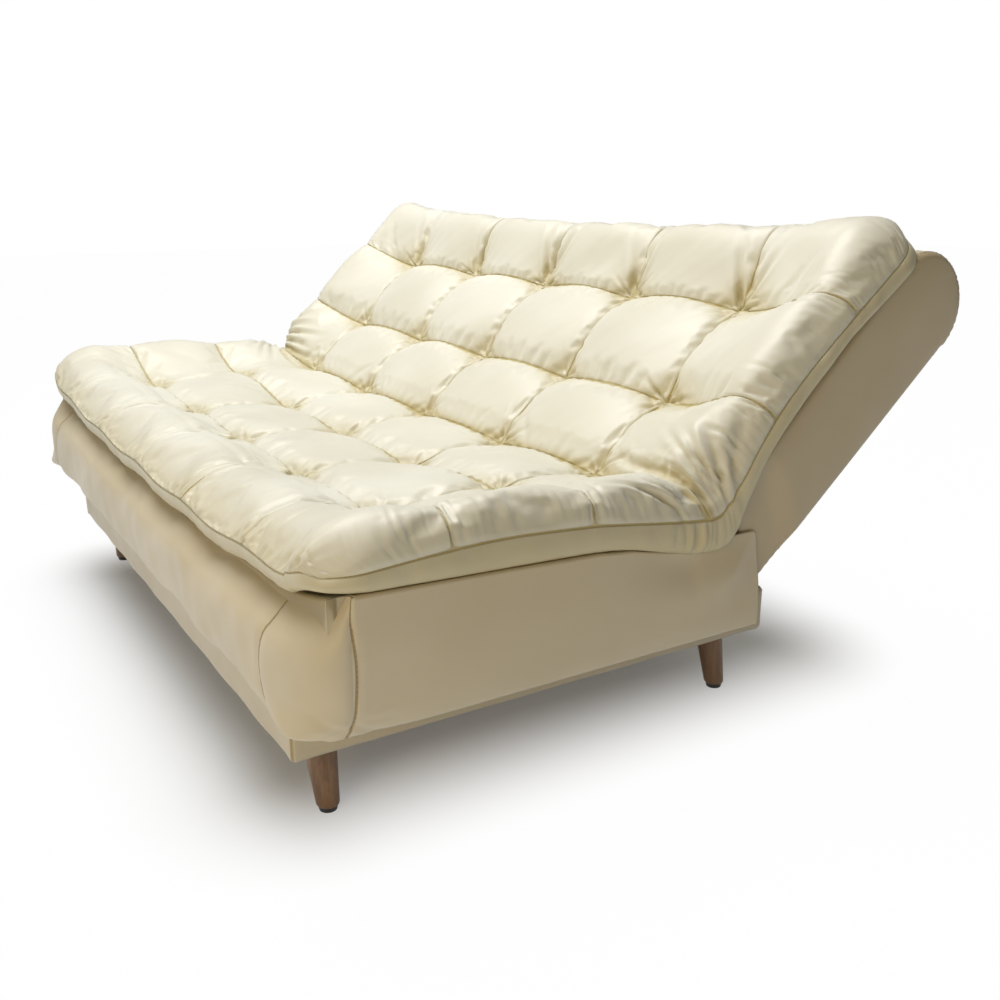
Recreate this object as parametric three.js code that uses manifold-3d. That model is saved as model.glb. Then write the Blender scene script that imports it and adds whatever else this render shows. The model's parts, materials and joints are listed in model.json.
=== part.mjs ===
// A click clack sofa bed: a low plinth on four splayed legs carries the seat box, and the back box turns
// on two notched hinges at the rear of the seat. One spring pawl on each hinge clicks into a notch for
// the flat bed, the lounge angle and the upright sofa. The model stands at the lounge angle.
// Millimetres: X runs across the sofa, Y from the front to the rear, Z up from the floor.

import * as THREE from 'three';
import { mergeVertices } from 'three/addons/utils/BufferGeometryUtils.js';
import Module from 'manifold-3d';

const degree = Math.PI / 180;

// Overall width and the sewn grid of the pads
const overallWidth = 1800;
const tuftPitchShare = 0.175;
const tuftColumns = 5;

// Legs and plinth
const legTopRadius = 27;
const legBottomRadius = 18.5;
const legSplay = 13;
const legSetback = 71;
const legInset = 44;
const glideThickness = 8;
const glideRadius = 16;
const plinthInset = 180;
const plinthDepth = 945;
const plinthHeight = 85;
const plinthBoard = 20;
const plinthCoverThickness = 4;
const cornerBlockSize = 92;
const cornerBlockHeight = 45;
const legBoltRadius = 4;
const legBoltShare = 0.32;
const legBoltHeadHeight = 6;
const legBoltHeadShare = 2;
const glideTaper = 2;

// Seat box
const seatDepth = 565;
const seatFrontHeight = 440;
const seatRise = 235;
const seatSlope = 4;
const seatRailHeight = 95;
const seatRailWidth = 40;
const seatPanelLift = 35;
const seatPanelTail = 130;
const seatTailDrop = 5;
const sidePanelThickness = 18;
const deckThickness = 12;
const joistThickness = 30;
const joistDepth = 60;
const noseReach = 50;
const noseEndRound = 140;
const noseDrop = 5;
const noseFall = 0.4;
const noseShoulder = 0.68;
const noseFullest = 0.46;
const noseTuck = 0.18;
const noseUnder = 0.7;
const noseEndReach = 0.3;
const noseEndTall = 0.93;
const noseEndSteps = [1, 0.93, 0.8, 0.6, 0.35, 0];
const noseCurveSteps = 7;
const frontDroop = 40;
const frontDroopStart = 40;

// Hinge and ratchet
const hingeSetback = 50;
const hingeDrop = 85;
const plateThickness = 4.2;
const sectorRadius = 42;
const pivotRadius = 6;
const pivotHeadRadius = 12;
const pivotHeadThickness = 9;
const notchDepth = 5;
const notchLead = 10;
const notchTrail = 5.5;
const armReach = 230;
const armEdge = 5;
const armTopGap = 2;
const armHeelBack = 0.7;
const armHeelRise = 0.55;
const armHeelGap = 4;
const loungeAngle = 43;
const uprightAngle = 70;
const pawlPinRadius = 4;
const pawlPivotDistance = 62;
const pawlPivotAngle = -40;
const pawlToothAngle = -14;
const pawlEyeRadius = 9;
const pawlEyeShare = 0.8;
const pawlToothHalf = 3;
const pawlHeadRise = 11;
const pawlHeadTurn = 5;
const pawlNeckRise = 6;
const pawlNeckTurn = 9;
const pawlFootTurn = 2;
const springThickness = 1.6;
const springClear = 2.5;
const springFootLength = 26;
const springFootLow = 4;
const springFootHigh = 13;
const backPlateShort = 2;
const backPlateDrop = 3;
const backPlateHeel = 0.2;
const backPlateFull = 0.7;
const rivetSink = 1;

// Back box, measured along the back from the hinge and square to its front
const backLength = 705;
const backFront = 40;
const backRearLow = -125;
const backRearHigh = -148;
const backRailDepth = 144;
const backRailWidth = 40;
const backDeckThickness = 12;
const backSideThickness = 7.5;
const backHeelClear = 4;
const backHeelAngle = -60;
const rollRelief = 0.9;

// Pads
const seatRows = [-22, 178, 403];
const backRows = [262, 483, 670];
const padCrown = 112;
const backPadCrown = 98;
const seamShare = 0.62;
const tuftFloor = 12;
const pipingHeight = 38;
const padEdgeRoll = 75;
const padSideBulge = 9;
const seamPull = 7;

// Clearances
const touch = 0.3;
const runningGap = 0.1;
const slideGap = 0.5;
const mitreRelief = 5;
const padRelief = 22;
const bumperGap = 0.6;
const arcSteps = 5;

// Places that follow from the sizes above
const halfWidth = overallWidth / 2;
const tuftPitch = overallWidth * tuftPitchShare;
const halfPlinth = halfWidth - plinthInset;
const plinthTop = seatFrontHeight - seatRise;
const legHeight = plinthTop - plinthHeight;
const legBoltDepth = legHeight * legBoltShare;
const hingeHeight = seatFrontHeight - hingeDrop;
const seatPanelBottom = plinthTop + seatPanelLift;
const seatBase = plinthTop + touch;
const seatRailTop = seatBase + seatRailHeight;
const deckTop = seatRailTop + touch + deckThickness;
const panelInner = halfWidth - sidePanelThickness;
const seatPlateOuter = panelInner - touch;
const seatPlateInner = seatPlateOuter - plateThickness;
const seatRailOuter = seatPlateInner - touch;
const seatRailInner = seatRailOuter - seatRailWidth;
const backPlateOuter = seatPlateInner - slideGap;
const backPlateInner = backPlateOuter - plateThickness;
const backRailOuter = backPlateInner - touch;
const backRailInner = backRailOuter - backRailWidth;
const hingeY = seatDepth + hingeSetback;
const mitreSlope = Math.tan(uprightAngle / 2 * degree);
const sides = [['left', -1], ['right', 1]];

const leather = new THREE.MeshStandardMaterial({ color: 0xe9e0bd, roughness: 0.42, metalness: 0 });
const shadeLeather = new THREE.MeshStandardMaterial({ color: 0xd8c8a2, roughness: 0.45, metalness: 0 });
const foam = new THREE.MeshStandardMaterial({ color: 0xe8e2cf, roughness: 0.95, metalness: 0 });
const pine = new THREE.MeshStandardMaterial({ color: 0xcfa873, roughness: 0.7, metalness: 0 });
const legWood = new THREE.MeshStandardMaterial({ color: 0x96704f, roughness: 0.5, metalness: 0 });
const steel = new THREE.MeshStandardMaterial({ color: 0x8c8f92, roughness: 0.35, metalness: 1 });
const glidePlastic = new THREE.MeshStandardMaterial({ color: 0x2b2a28, roughness: 0.6, metalness: 0 });
const rubber = new THREE.MeshStandardMaterial({ color: 0x1f1f1f, roughness: 0.9, metalness: 0 });

const solids = await Module();
solids.setup();

// Joining and cutting closed meshes

function toSolid(geometry) {
  const bare = geometry.clone();
  bare.deleteAttribute('normal');
  bare.deleteAttribute('uv');
  const merged = mergeVertices(bare, 1e-4);
  const vertProperties = new Float32Array(merged.attributes.position.array);
  const triVerts = new Uint32Array(merged.index.array);
  return new solids.Manifold(new solids.Mesh({ numProp: 3, vertProperties, triVerts }));
}

function toGeometry(solid) {
  const mesh = solid.getMesh();
  const geometry = new THREE.BufferGeometry();
  geometry.setAttribute('position', new THREE.BufferAttribute(new Float32Array(mesh.vertProperties), 3));
  geometry.setIndex(new THREE.BufferAttribute(new Uint32Array(mesh.triVerts), 1));
  geometry.computeVertexNormals();
  return geometry;
}

function cut(geometry, ...tools) {
  let result = toSolid(geometry);
  for (const tool of tools) result = result.subtract(toSolid(tool));
  return toGeometry(result);
}

function join(...geometries) {
  let result = toSolid(geometries[0]);
  for (const other of geometries.slice(1)) result = result.add(toSolid(other));
  return toGeometry(result);
}

// Basic shapes

const sidePlane = new THREE.Matrix4().makeBasis(
  new THREE.Vector3(0, 1, 0), new THREE.Vector3(0, 0, 1), new THREE.Vector3(1, 0, 0));

function addPiece(group, name, geometry, material) {
  const mesh = new THREE.Mesh(geometry, material);
  mesh.name = name;
  group.add(mesh);
}

function block(x, y, z) {
  const geometry = new THREE.BoxGeometry(x[1] - x[0], y[1] - y[0], z[1] - z[0]);
  geometry.translate((x[0] + x[1]) / 2, (y[0] + y[1]) / 2, (z[0] + z[1]) / 2);
  return geometry;
}

function across(side, inner, outer) {
  return side > 0 ? [inner, outer] : [-outer, -inner];
}

// A flat piece whose outline lies in the side view, between two places across the sofa.
function plate(outline, x) {
  const shape = Array.isArray(outline) ? new THREE.Shape(outline) : outline;
  const options = { depth: x[1] - x[0], bevelEnabled: false, curveSegments: 20 };
  const geometry = new THREE.ExtrudeGeometry(shape, options);
  geometry.applyMatrix4(sidePlane);
  geometry.translate(x[0], 0, 0);
  return geometry;
}

function round(radius, x, y = 0, z = 0, segments = 32) {
  const geometry = new THREE.CylinderGeometry(radius, radius, x[1] - x[0], segments);
  geometry.rotateZ(Math.PI / 2);
  geometry.translate((x[0] + x[1]) / 2, y, z);
  return geometry;
}

function point(y, z) {
  return new THREE.Vector2(y, z);
}

function polar(radius, angle) {
  return point(radius * Math.cos(angle * degree), radius * Math.sin(angle * degree));
}

// A closed skin through rings that all have the same number of points.
function loft(rings) {
  const count = rings[0].length;
  const positions = [];
  const index = [];
  for (const ring of rings) for (const p of ring) positions.push(p.x, p.y, p.z);
  for (let r = 0; r + 1 < rings.length; r += 1) {
    for (let k = 0; k < count; k += 1) {
      const a = r * count + k;
      const b = r * count + (k + 1) % count;
      index.push(a, b, b + count, a, b + count, a + count);
    }
  }
  const cap = THREE.ShapeUtils.triangulateShape(rings[0].map((p) => point(p.y, p.z)), []);
  const last = (rings.length - 1) * count;
  for (const [a, b, c] of cap) {
    index.push(a, c, b);
    index.push(last + a, last + b, last + c);
  }
  const geometry = new THREE.BufferGeometry();
  geometry.setAttribute('position', new THREE.Float32BufferAttribute(positions, 3));
  geometry.setIndex(index);
  geometry.computeVertexNormals();
  return geometry;
}

// The line under the seat pad: a gentle slope down to the rear, rolled down over the front edge.
function smoothSeatTop(y) {
  const slope = seatFrontHeight - Math.tan(seatSlope * degree) * y;
  const over = Math.max(0, frontDroopStart - y) / (frontDroopStart - seatRows[0]);
  return slope - frontDroop * over * over;
}

const seatPadRear = hingeY - mitreSlope * (smoothSeatTop(seatDepth) - hingeHeight) - mitreRelief;
const seatRowLines = [...seatRows, seatPadRear];
const seatTopKnots = cellSteps(seatRowLines).map((step) => step.at);

// The same line in straight steps, so that the pad and what carries it meet all along.
function seatTop(y) {
  const last = seatTopKnots.length - 1;
  let k = 0;
  while (k < last - 1 && seatTopKnots[k + 1] < y) k += 1;
  const [from, to] = [seatTopKnots[k], seatTopKnots[k + 1]];
  const share = (y - from) / (to - from);
  return smoothSeatTop(from) + (smoothSeatTop(to) - smoothSeatTop(from)) * share;
}

function seatTopLine(from, to, below) {
  const between = seatTopKnots.filter((y) => y > from && y < to);
  return [from, ...between, to].map((y) => point(y, seatTop(y) - below));
}

function backRear(u) {
  const share = (u - hingeSetback) / (backLength - hingeSetback);
  return backRearLow + (backRearHigh - backRearLow) * share;
}

// Sewn pads

function cellSteps(lines) {
  const inner = [0, 0.15, 0.5, 0.85];
  const steps = [];
  for (let k = 0; k + 1 < lines.length; k += 1) {
    const size = lines[k + 1] - lines[k];
    let shares = inner;
    if (k === 0) shares = [0, 0.1, 0.3, 0.6, 0.88];
    if (k === lines.length - 2) shares = [0, 0.12, 0.4, 0.7, 0.9];
    for (const share of shares) steps.push({ at: lines[k] + size * share, cell: k, share });
  }
  steps.push({ at: lines[lines.length - 1], cell: lines.length - 2, share: 1 });
  return steps;
}

// One between tuft lines and zero on them; the pad's own edge is no tuft line.
function puff(step, cells) {
  let phase = step.share;
  if (step.cell === 0) phase = 0.5 + step.share / 2;
  if (step.cell === cells - 1) phase = step.share / 2;
  return Math.abs(Math.sin(Math.PI * phase)) ** 0.6;
}

function edgeRoll(at, lines) {
  const near = Math.min(at - lines[0], lines[lines.length - 1] - at) / padEdgeRoll;
  const left = 1 - Math.min(1, Math.max(0, near));
  return Math.sqrt(1 - left * left);
}

// A pad on a grid of tuft lines, with its piping above the rim, a bulging side band and a plain underside.
// lean shifts the sewn top edge inward from the bottom edge at the first and last row.
function tuftedPad(columnLines, rowLines, underside, crown, lean) {
  const columns = cellSteps(columnLines);
  const rows = cellSteps(rowLines);
  const columnCells = columnLines.length - 1;
  const rowCells = rowLines.length - 1;
  const rowMiddle = (rowLines[0] + rowLines[rowCells]) / 2;
  const rowReach = rowLines[rowCells] - rowMiddle;
  const positions = [];
  const topAt = [];
  const lowAt = [];
  const bandAt = [];

  function store(list, x, y, z) {
    list.push(positions.length / 3);
    positions.push(x, y, z);
  }

  function leanAt(y) {
    const share = (y - rowMiddle) / rowReach;
    return share < 0 ? lean[0] * share * share : -lean[1] * share * share;
  }

  function pull(x, y) {
    const columnPuff = puff(columns.find((s) => s.at === x), columnCells);
    const rowPuff = puff(rows.find((s) => s.at === y), rowCells);
    return [seamPull * (1 - rowPuff), seamPull * (1 - columnPuff)];
  }

  for (const row of rows) {
    for (const column of columns) {
      const waveX = puff(column, columnCells);
      const waveY = puff(row, rowCells);
      const full = seamShare * Math.max(waveX, waveY) + (1 - seamShare) * waveX * waveY;
      const height = tuftFloor + (crown - tuftFloor) * full;
      const roll = edgeRoll(column.at, columnLines) * edgeRoll(row.at, rowLines);
      const [pullX, pullY] = pull(column.at, row.at);
      const onSide = Math.abs(column.at) === halfWidth;
      const onEnd = row === rows[0] || row === rows[rows.length - 1];
      const x = column.at - (onSide ? Math.sign(column.at) * pullX : 0);
      const inward = onEnd ? Math.sign(rowMiddle - row.at) * pullY : 0;
      const y = row.at + leanAt(row.at) + inward;
      store(topAt, x, y, underside(row.at) + pipingHeight + (height - pipingHeight) * roll);
    }
  }
  for (const row of rows) {
    for (const column of columns) store(lowAt, column.at, row.at, underside(row.at));
  }

  const wide = columns.length;
  const rim = [];
  for (let k = 0; k < wide - 1; k += 1) rim.push(k);
  for (let k = 0; k < rows.length - 1; k += 1) rim.push(k * wide + wide - 1);
  for (let k = wide - 1; k > 0; k -= 1) rim.push((rows.length - 1) * wide + k);
  for (let k = rows.length - 1; k > 0; k -= 1) rim.push(k * wide);
  for (const place of rim) {
    const top = new THREE.Vector3().fromArray(positions, topAt[place] * 3);
    const low = new THREE.Vector3().fromArray(positions, lowAt[place] * 3);
    const middle = top.add(low).multiplyScalar(0.5);
    const row = Math.floor(place / wide);
    const column = place % wide;
    if (row === 0) middle.y -= padSideBulge * (lean[0] ? 0 : 1);
    if (row === rows.length - 1) middle.y += padSideBulge * (lean[1] ? 0 : 1);
    if (column === 0) middle.x += seamPull / 2;
    if (column === wide - 1) middle.x -= seamPull / 2;
    store(bandAt, middle.x, middle.y, middle.z);
  }

  const index = [];
  for (let r = 0; r + 1 < rows.length; r += 1) {
    for (let c = 0; c + 1 < wide; c += 1) {
      const a = r * wide + c;
      const b = a + 1;
      const d = a + wide;
      const e = d + 1;
      index.push(topAt[a], topAt[b], topAt[e], topAt[a], topAt[e], topAt[d]);
      index.push(lowAt[a], lowAt[e], lowAt[b], lowAt[a], lowAt[d], lowAt[e]);
    }
  }
  for (let k = 0; k < rim.length; k += 1) {
    const next = (k + 1) % rim.length;
    const low = [lowAt[rim[k]], lowAt[rim[next]]];
    const band = [bandAt[k], bandAt[next]];
    const top = [topAt[rim[k]], topAt[rim[next]]];
    index.push(low[0], low[1], band[1], low[0], band[1], band[0]);
    index.push(band[0], band[1], top[1], band[0], top[1], top[0]);
  }
  const geometry = new THREE.BufferGeometry();
  geometry.setAttribute('position', new THREE.Float32BufferAttribute(positions, 3));
  geometry.setIndex(index);
  geometry.computeVertexNormals();
  return geometry;
}

function padColumns() {
  const lines = [-halfWidth];
  for (let k = 0; k < tuftColumns; k += 1) lines.push((k - (tuftColumns - 1) / 2) * tuftPitch);
  lines.push(halfWidth);
  return lines;
}

// Legs and plinth

function legPlaces() {
  const x = halfPlinth - legInset;
  const places = [];
  for (const [end, y] of [['front', legSetback], ['rear', plinthDepth - legSetback]]) {
    for (const [side, sign] of sides) places.push({ name: `${end}_${side}`, x: x * sign, y, sign, end });
  }
  return places;
}

function makeLegs(group) {
  const woodHeight = legHeight - glideThickness - 2 * touch;
  const lean = Math.tan(legSplay * degree);
  const rise = legHeight - touch;
  for (const leg of legPlaces()) {
    const wood = new THREE.CylinderGeometry(legTopRadius, legBottomRadius, woodHeight, 28, 1);
    wood.rotateX(Math.PI / 2);
    wood.translate(0, 0, glideThickness + touch + woodHeight / 2);
    const shear = new THREE.Matrix4().makeShear(0, 0, 0, 0, -lean * leg.sign, 0);
    wood.applyMatrix4(shear);
    wood.translate(leg.x, leg.y, 0);
    const topX = leg.x - lean * leg.sign * rise;
    const boltBottom = rise - legBoltDepth;
    const boltTop = legHeight + cornerBlockHeight;
    const bore = new THREE.CylinderGeometry(
      legBoltRadius + touch, legBoltRadius + touch, boltTop - boltBottom + 2, 16);
    bore.rotateX(Math.PI / 2);
    bore.translate(topX, leg.y, (boltBottom + boltTop) / 2);
    addPiece(group, `leg_${leg.name}`, cut(wood, bore), legWood);

    const headRadius = legBoltRadius * legBoltHeadShare;
    const headTop = boltTop + legBoltHeadHeight;
    const profile = [
      point(0, boltBottom), point(legBoltRadius, boltBottom), point(legBoltRadius, boltTop + touch),
      point(headRadius, boltTop + touch), point(headRadius, headTop), point(0, headTop)];
    const bolt = new THREE.LatheGeometry(profile, 16);
    bolt.rotateX(Math.PI / 2);
    bolt.translate(topX, leg.y, 0);
    addPiece(group, `leg_bolt_${leg.name}`, bolt, steel);

    const glide = new THREE.CylinderGeometry(glideRadius, glideRadius - glideTaper, glideThickness, 28);
    glide.rotateX(Math.PI / 2);
    glide.translate(leg.x - lean * leg.sign * glideThickness, leg.y, glideThickness / 2);
    addPiece(group, `glide_${leg.name}`, glide, glidePlastic);

    const blockX = across(leg.sign, halfPlinth - plinthBoard - touch - cornerBlockSize,
      halfPlinth - plinthBoard - touch);
    const front = plinthBoard + touch;
    const rear = plinthDepth - plinthBoard - touch;
    const blockY = leg.end === 'front' ? [front, front + cornerBlockSize] : [rear - cornerBlockSize, rear];
    const corner = block(blockX, blockY, [legHeight, legHeight + cornerBlockHeight]);
    addPiece(group, `corner_block_${leg.name}`, cut(corner, bore), pine);
  }
}

function makePlinth(group) {
  const z = [legHeight, plinthTop];
  const between = [plinthBoard + touch, plinthDepth - plinthBoard - touch];
  const wide = [-halfPlinth, halfPlinth];
  addPiece(group, 'plinth_front', block(wide, [0, plinthBoard], z), shadeLeather);
  addPiece(group, 'plinth_rear', block(wide, [plinthDepth - plinthBoard, plinthDepth], z), shadeLeather);
  addPiece(group, 'plinth_centre', block([-plinthBoard / 2, plinthBoard / 2], between, z), pine);
  const coverY = [seatDepth + touch, plinthDepth - plinthBoard - touch];
  const coverZ = [plinthTop + touch, plinthTop + touch + plinthCoverThickness];
  addPiece(group, 'plinth_cover', block(wide, coverY, coverZ), shadeLeather);
  for (const [name, side] of sides) {
    const x = across(side, halfPlinth - plinthBoard, halfPlinth);
    addPiece(group, `plinth_${name}`, block(x, between, z), shadeLeather);
    const bumperY = plinthDepth - plinthBoard / 2;
    const bumperTop = hingeHeight + backRear(bumperY - hingeY) - bumperGap;
    const bumperX = across(side, halfPlinth / 2 - plinthBoard, halfPlinth / 2 + plinthBoard);
    const bumper = block(bumperX, [plinthDepth - plinthBoard, plinthDepth], [plinthTop + touch, bumperTop]);
    addPiece(group, `back_rest_bumper_${name}`, bumper, rubber);
  }
}

// Seat box

function makeSeatFrame(group) {
  const x = [-seatRailInner + touch, seatRailInner - touch];
  for (const [name, y] of [['front', 0], ['rear', seatDepth - seatRailWidth]]) {
    const wide = block(x, [y, y + seatRailWidth], [seatPanelBottom, seatRailTop]);
    const foot = block([-halfPlinth, halfPlinth], [y, y + seatRailWidth], [seatBase, seatRailTop]);
    addPiece(group, `seat_${name}_rail`, join(wide, foot), pine);
  }
  const joistY = [seatRailWidth + touch, seatDepth - seatRailWidth - touch];
  const joistZ = [seatRailTop - joistDepth, seatRailTop];
  const joistX = [-joistThickness / 2, joistThickness / 2];
  addPiece(group, 'seat_centre_joist', block(joistX, joistY, joistZ), pine);
  for (const [name, side] of sides) {
    const sideX = across(side, seatRailInner, seatRailOuter);
    const sideRail = block(sideX, [0, seatDepth], [seatPanelBottom, seatRailTop]);
    addPiece(group, `seat_side_rail_${name}`, sideRail, pine);
  }
  const deck = block([-seatRailOuter, seatRailOuter], [0, seatDepth], [seatRailTop + touch, deckTop]);
  addPiece(group, 'seat_deck', deck, pine);
  const foamTop = seatTopLine(touch, seatDepth, touch).reverse();
  const foamOutline = [point(touch, deckTop + touch), point(seatDepth, deckTop + touch), ...foamTop];
  addPiece(group, 'seat_foam', plate(foamOutline, [-seatRailOuter, seatRailOuter]), foam);
}

// The side panels run back past the hinge and cover it with a rounded tail.
function makeSeatPanels(group) {
  const tailTop = backFront - seatTailDrop;
  const tailStart = Math.asin(tailTop / seatPanelTail) / degree;
  const lastY = hingeY - hingeSetback;
  const top = seatTopLine(touch, lastY, touch);
  const outline = [point(touch, seatPanelBottom), point(hingeY + seatPanelTail, seatPanelBottom)];
  for (let k = 0; k <= arcSteps; k += 1) {
    const place = polar(seatPanelTail, tailStart * k / arcSteps);
    outline.push(point(hingeY + place.x, hingeHeight + place.y));
  }
  outline.push(point(hingeY - hingeSetback / 2, hingeHeight + tailTop));
  outline.push(...top.reverse());
  for (const [name, side] of sides) {
    addPiece(group, `seat_side_panel_${name}`, plate(outline, across(side, panelInner, halfWidth)),
      shadeLeather);
  }
}

// The soft roll along the front, fullest in the middle and rounded away at its ends.
function makeNose(group) {
  const bottom = seatPanelBottom - noseDrop;
  const height = seatTop(-touch) - bottom;
  const profile = new THREE.Shape();
  profile.moveTo(-touch, bottom);
  profile.lineTo(-touch, seatTop(-touch) - touch);
  const rim = seatTop(seatRows[0]) - touch;
  profile.lineTo(seatRows[0], rim);
  const fall = (noseReach + seatRows[0]) * noseFall;
  profile.bezierCurveTo(seatRows[0] - fall, rim - fall,
    -noseReach, bottom + height * noseShoulder, -noseReach, bottom + height * noseFullest);
  profile.bezierCurveTo(-noseReach, bottom + height * noseTuck,
    -noseReach * noseUnder, bottom, -touch, bottom);
  const outline = profile.getPoints(noseCurveSteps).slice(0, -1);
  const middle = bottom + height / 2;
  const rings = [];
  const places = [
    ...noseEndSteps.map((t) => [-1, t]),
    ...noseEndSteps.slice().reverse().map((t) => [1, t])];
  for (const [side, t] of places) {
    const x = side * (halfWidth - noseEndRound * (1 - t));
    const full = Math.sqrt(1 - t * t);
    const reach = noseEndReach + (1 - noseEndReach) * full;
    const tall = noseEndTall + (1 - noseEndTall) * full;
    const ring = outline.map((p) => new THREE.Vector3(
      x, -touch + (p.x + touch) * reach, middle + (p.y - middle) * tall));
    rings.push(ring);
  }
  addPiece(group, 'seat_front_roll', loft(rings), leather);
}

function makeSeatPad(group) {
  const rearLean = mitreSlope * pipingHeight + padRelief - mitreRelief;
  const pad = tuftedPad(padColumns(), seatRowLines, seatTop, padCrown, [0, rearLean]);
  addPiece(group, 'seat_pad', pad, leather);
}

// Hinges

function notch(click) {
  const from = click + pawlToothAngle - notchLead;
  const to = click + pawlToothAngle + notchTrail;
  const outer = sectorRadius + notchDepth;
  const inner = sectorRadius - notchDepth;
  const outline = [polar(inner, from), polar(outer, from), polar(outer, to), polar(inner, to)];
  return plate(outline, [-halfWidth, halfWidth]);
}

function makeSeatPlates(group) {
  const armLow = seatPanelBottom - hingeHeight + armEdge;
  const armHigh = seatRailTop - hingeHeight - armTopGap;
  const arm = [
    point(-armReach, armLow), point(-hingeSetback, armLow), point(0, -sectorRadius + armHeelGap),
    point(-sectorRadius * armHeelBack, sectorRadius * armHeelRise), point(-armReach, armHigh)];
  for (const [name, side] of sides) {
    const x = across(side, seatPlateInner, seatPlateOuter);
    const bore = round(pivotRadius + runningGap, [-halfWidth, halfWidth]);
    const whole = join(round(sectorRadius, x, 0, 0, 64), plate(arm, x));
    const clicks = [0, loungeAngle, uprightAngle].map(notch);
    const finished = cut(whole, bore, ...clicks);
    finished.translate(0, hingeY, hingeHeight);
    addPiece(group, `hinge_seat_plate_${name}`, finished, steel);

    const head = across(side, backPlateInner - touch - pivotHeadThickness, backPlateInner - touch);
    const shank = across(side, backPlateInner - touch - rivetSink, seatPlateOuter);
    const pivot = join(round(pivotHeadRadius, head), round(pivotRadius, shank));
    pivot.translate(0, hingeY, hingeHeight);
    addPiece(group, `hinge_pivot_${name}`, pivot, steel);
  }
}

function makeBackPlates(group) {
  const pin = polar(pawlPivotDistance, pawlPivotAngle);
  const reach = hingeSetback + backRailWidth - backPlateShort;
  const low = pin.y - pawlEyeRadius;
  const high = backFront - backDeckThickness - backPlateDrop;
  const outline = [
    point(-sectorRadius * backPlateHeel, low * backPlateFull), point(pin.x, low),
    point(reach, low + pawlEyeRadius), point(reach, high), point(0, sectorRadius * backPlateFull)];
  for (const [name, side] of sides) {
    const x = across(side, backPlateInner, backPlateOuter);
    const pivotBore = round(pivotRadius + runningGap, [-halfWidth, halfWidth]);
    const pinBore = round(pawlPinRadius + runningGap, [-halfWidth, halfWidth], pin.x, pin.y, 24);
    const whole = join(round(sectorRadius, x, 0, 0, 48), plate(outline, x));
    addPiece(group, `hinge_back_plate_${name}`, cut(whole, pivotBore, pinBore), steel);

    const shank = across(side, backPlateInner, seatPlateOuter - touch);
    addPiece(group, `pawl_pin_${name}`, round(pawlPinRadius, shank, pin.x, pin.y, 24), steel);
  }
}

function makePawls(group) {
  const pin = polar(pawlPivotDistance, pawlPivotAngle);
  const tip = sectorRadius + slideGap;
  const tooth = pawlToothAngle;
  const eye = pawlEyeRadius * pawlEyeShare;
  const head = polar(tip + pawlHeadRise, tooth + pawlHeadTurn);
  const outline = [
    polar(tip, tooth - pawlToothHalf), polar(tip, tooth + pawlToothHalf), head,
    polar(pawlPivotDistance + eye, pawlPivotAngle + pawlHeadTurn),
    polar(pawlPivotDistance - eye, pawlPivotAngle - pawlFootTurn),
    polar(tip + pawlNeckRise, tooth - pawlNeckTurn)];
  const springOff = head.x + springClear;
  const foot = springOff + springFootLength;
  const springEnd = pin.y / 2;
  const spring = [
    point(springOff, springEnd), point(springOff + springThickness, springEnd),
    point(springOff + springThickness, springFootLow), point(foot, springFootLow),
    point(foot, springFootHigh), point(springOff, springFootHigh)];
  for (const [name, side] of sides) {
    const x = across(side, seatPlateInner, seatPlateOuter);
    const disc = round(pawlEyeRadius, x, pin.x, pin.y, 28);
    const bore = round(pawlPinRadius + runningGap, [-halfWidth, halfWidth], pin.x, pin.y, 24);
    const pawl = cut(join(disc, plate(outline.slice().reverse(), x)), bore);
    addPiece(group, `pawl_${name}`, pawl, steel);
    const springX = across(side, backPlateOuter + touch, seatPlateOuter);
    addPiece(group, `pawl_spring_${name}`, plate(spring, springX), steel);
  }
}

// Back box, in its own frame: Y runs up the back from the hinge, Z out of its front

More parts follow.
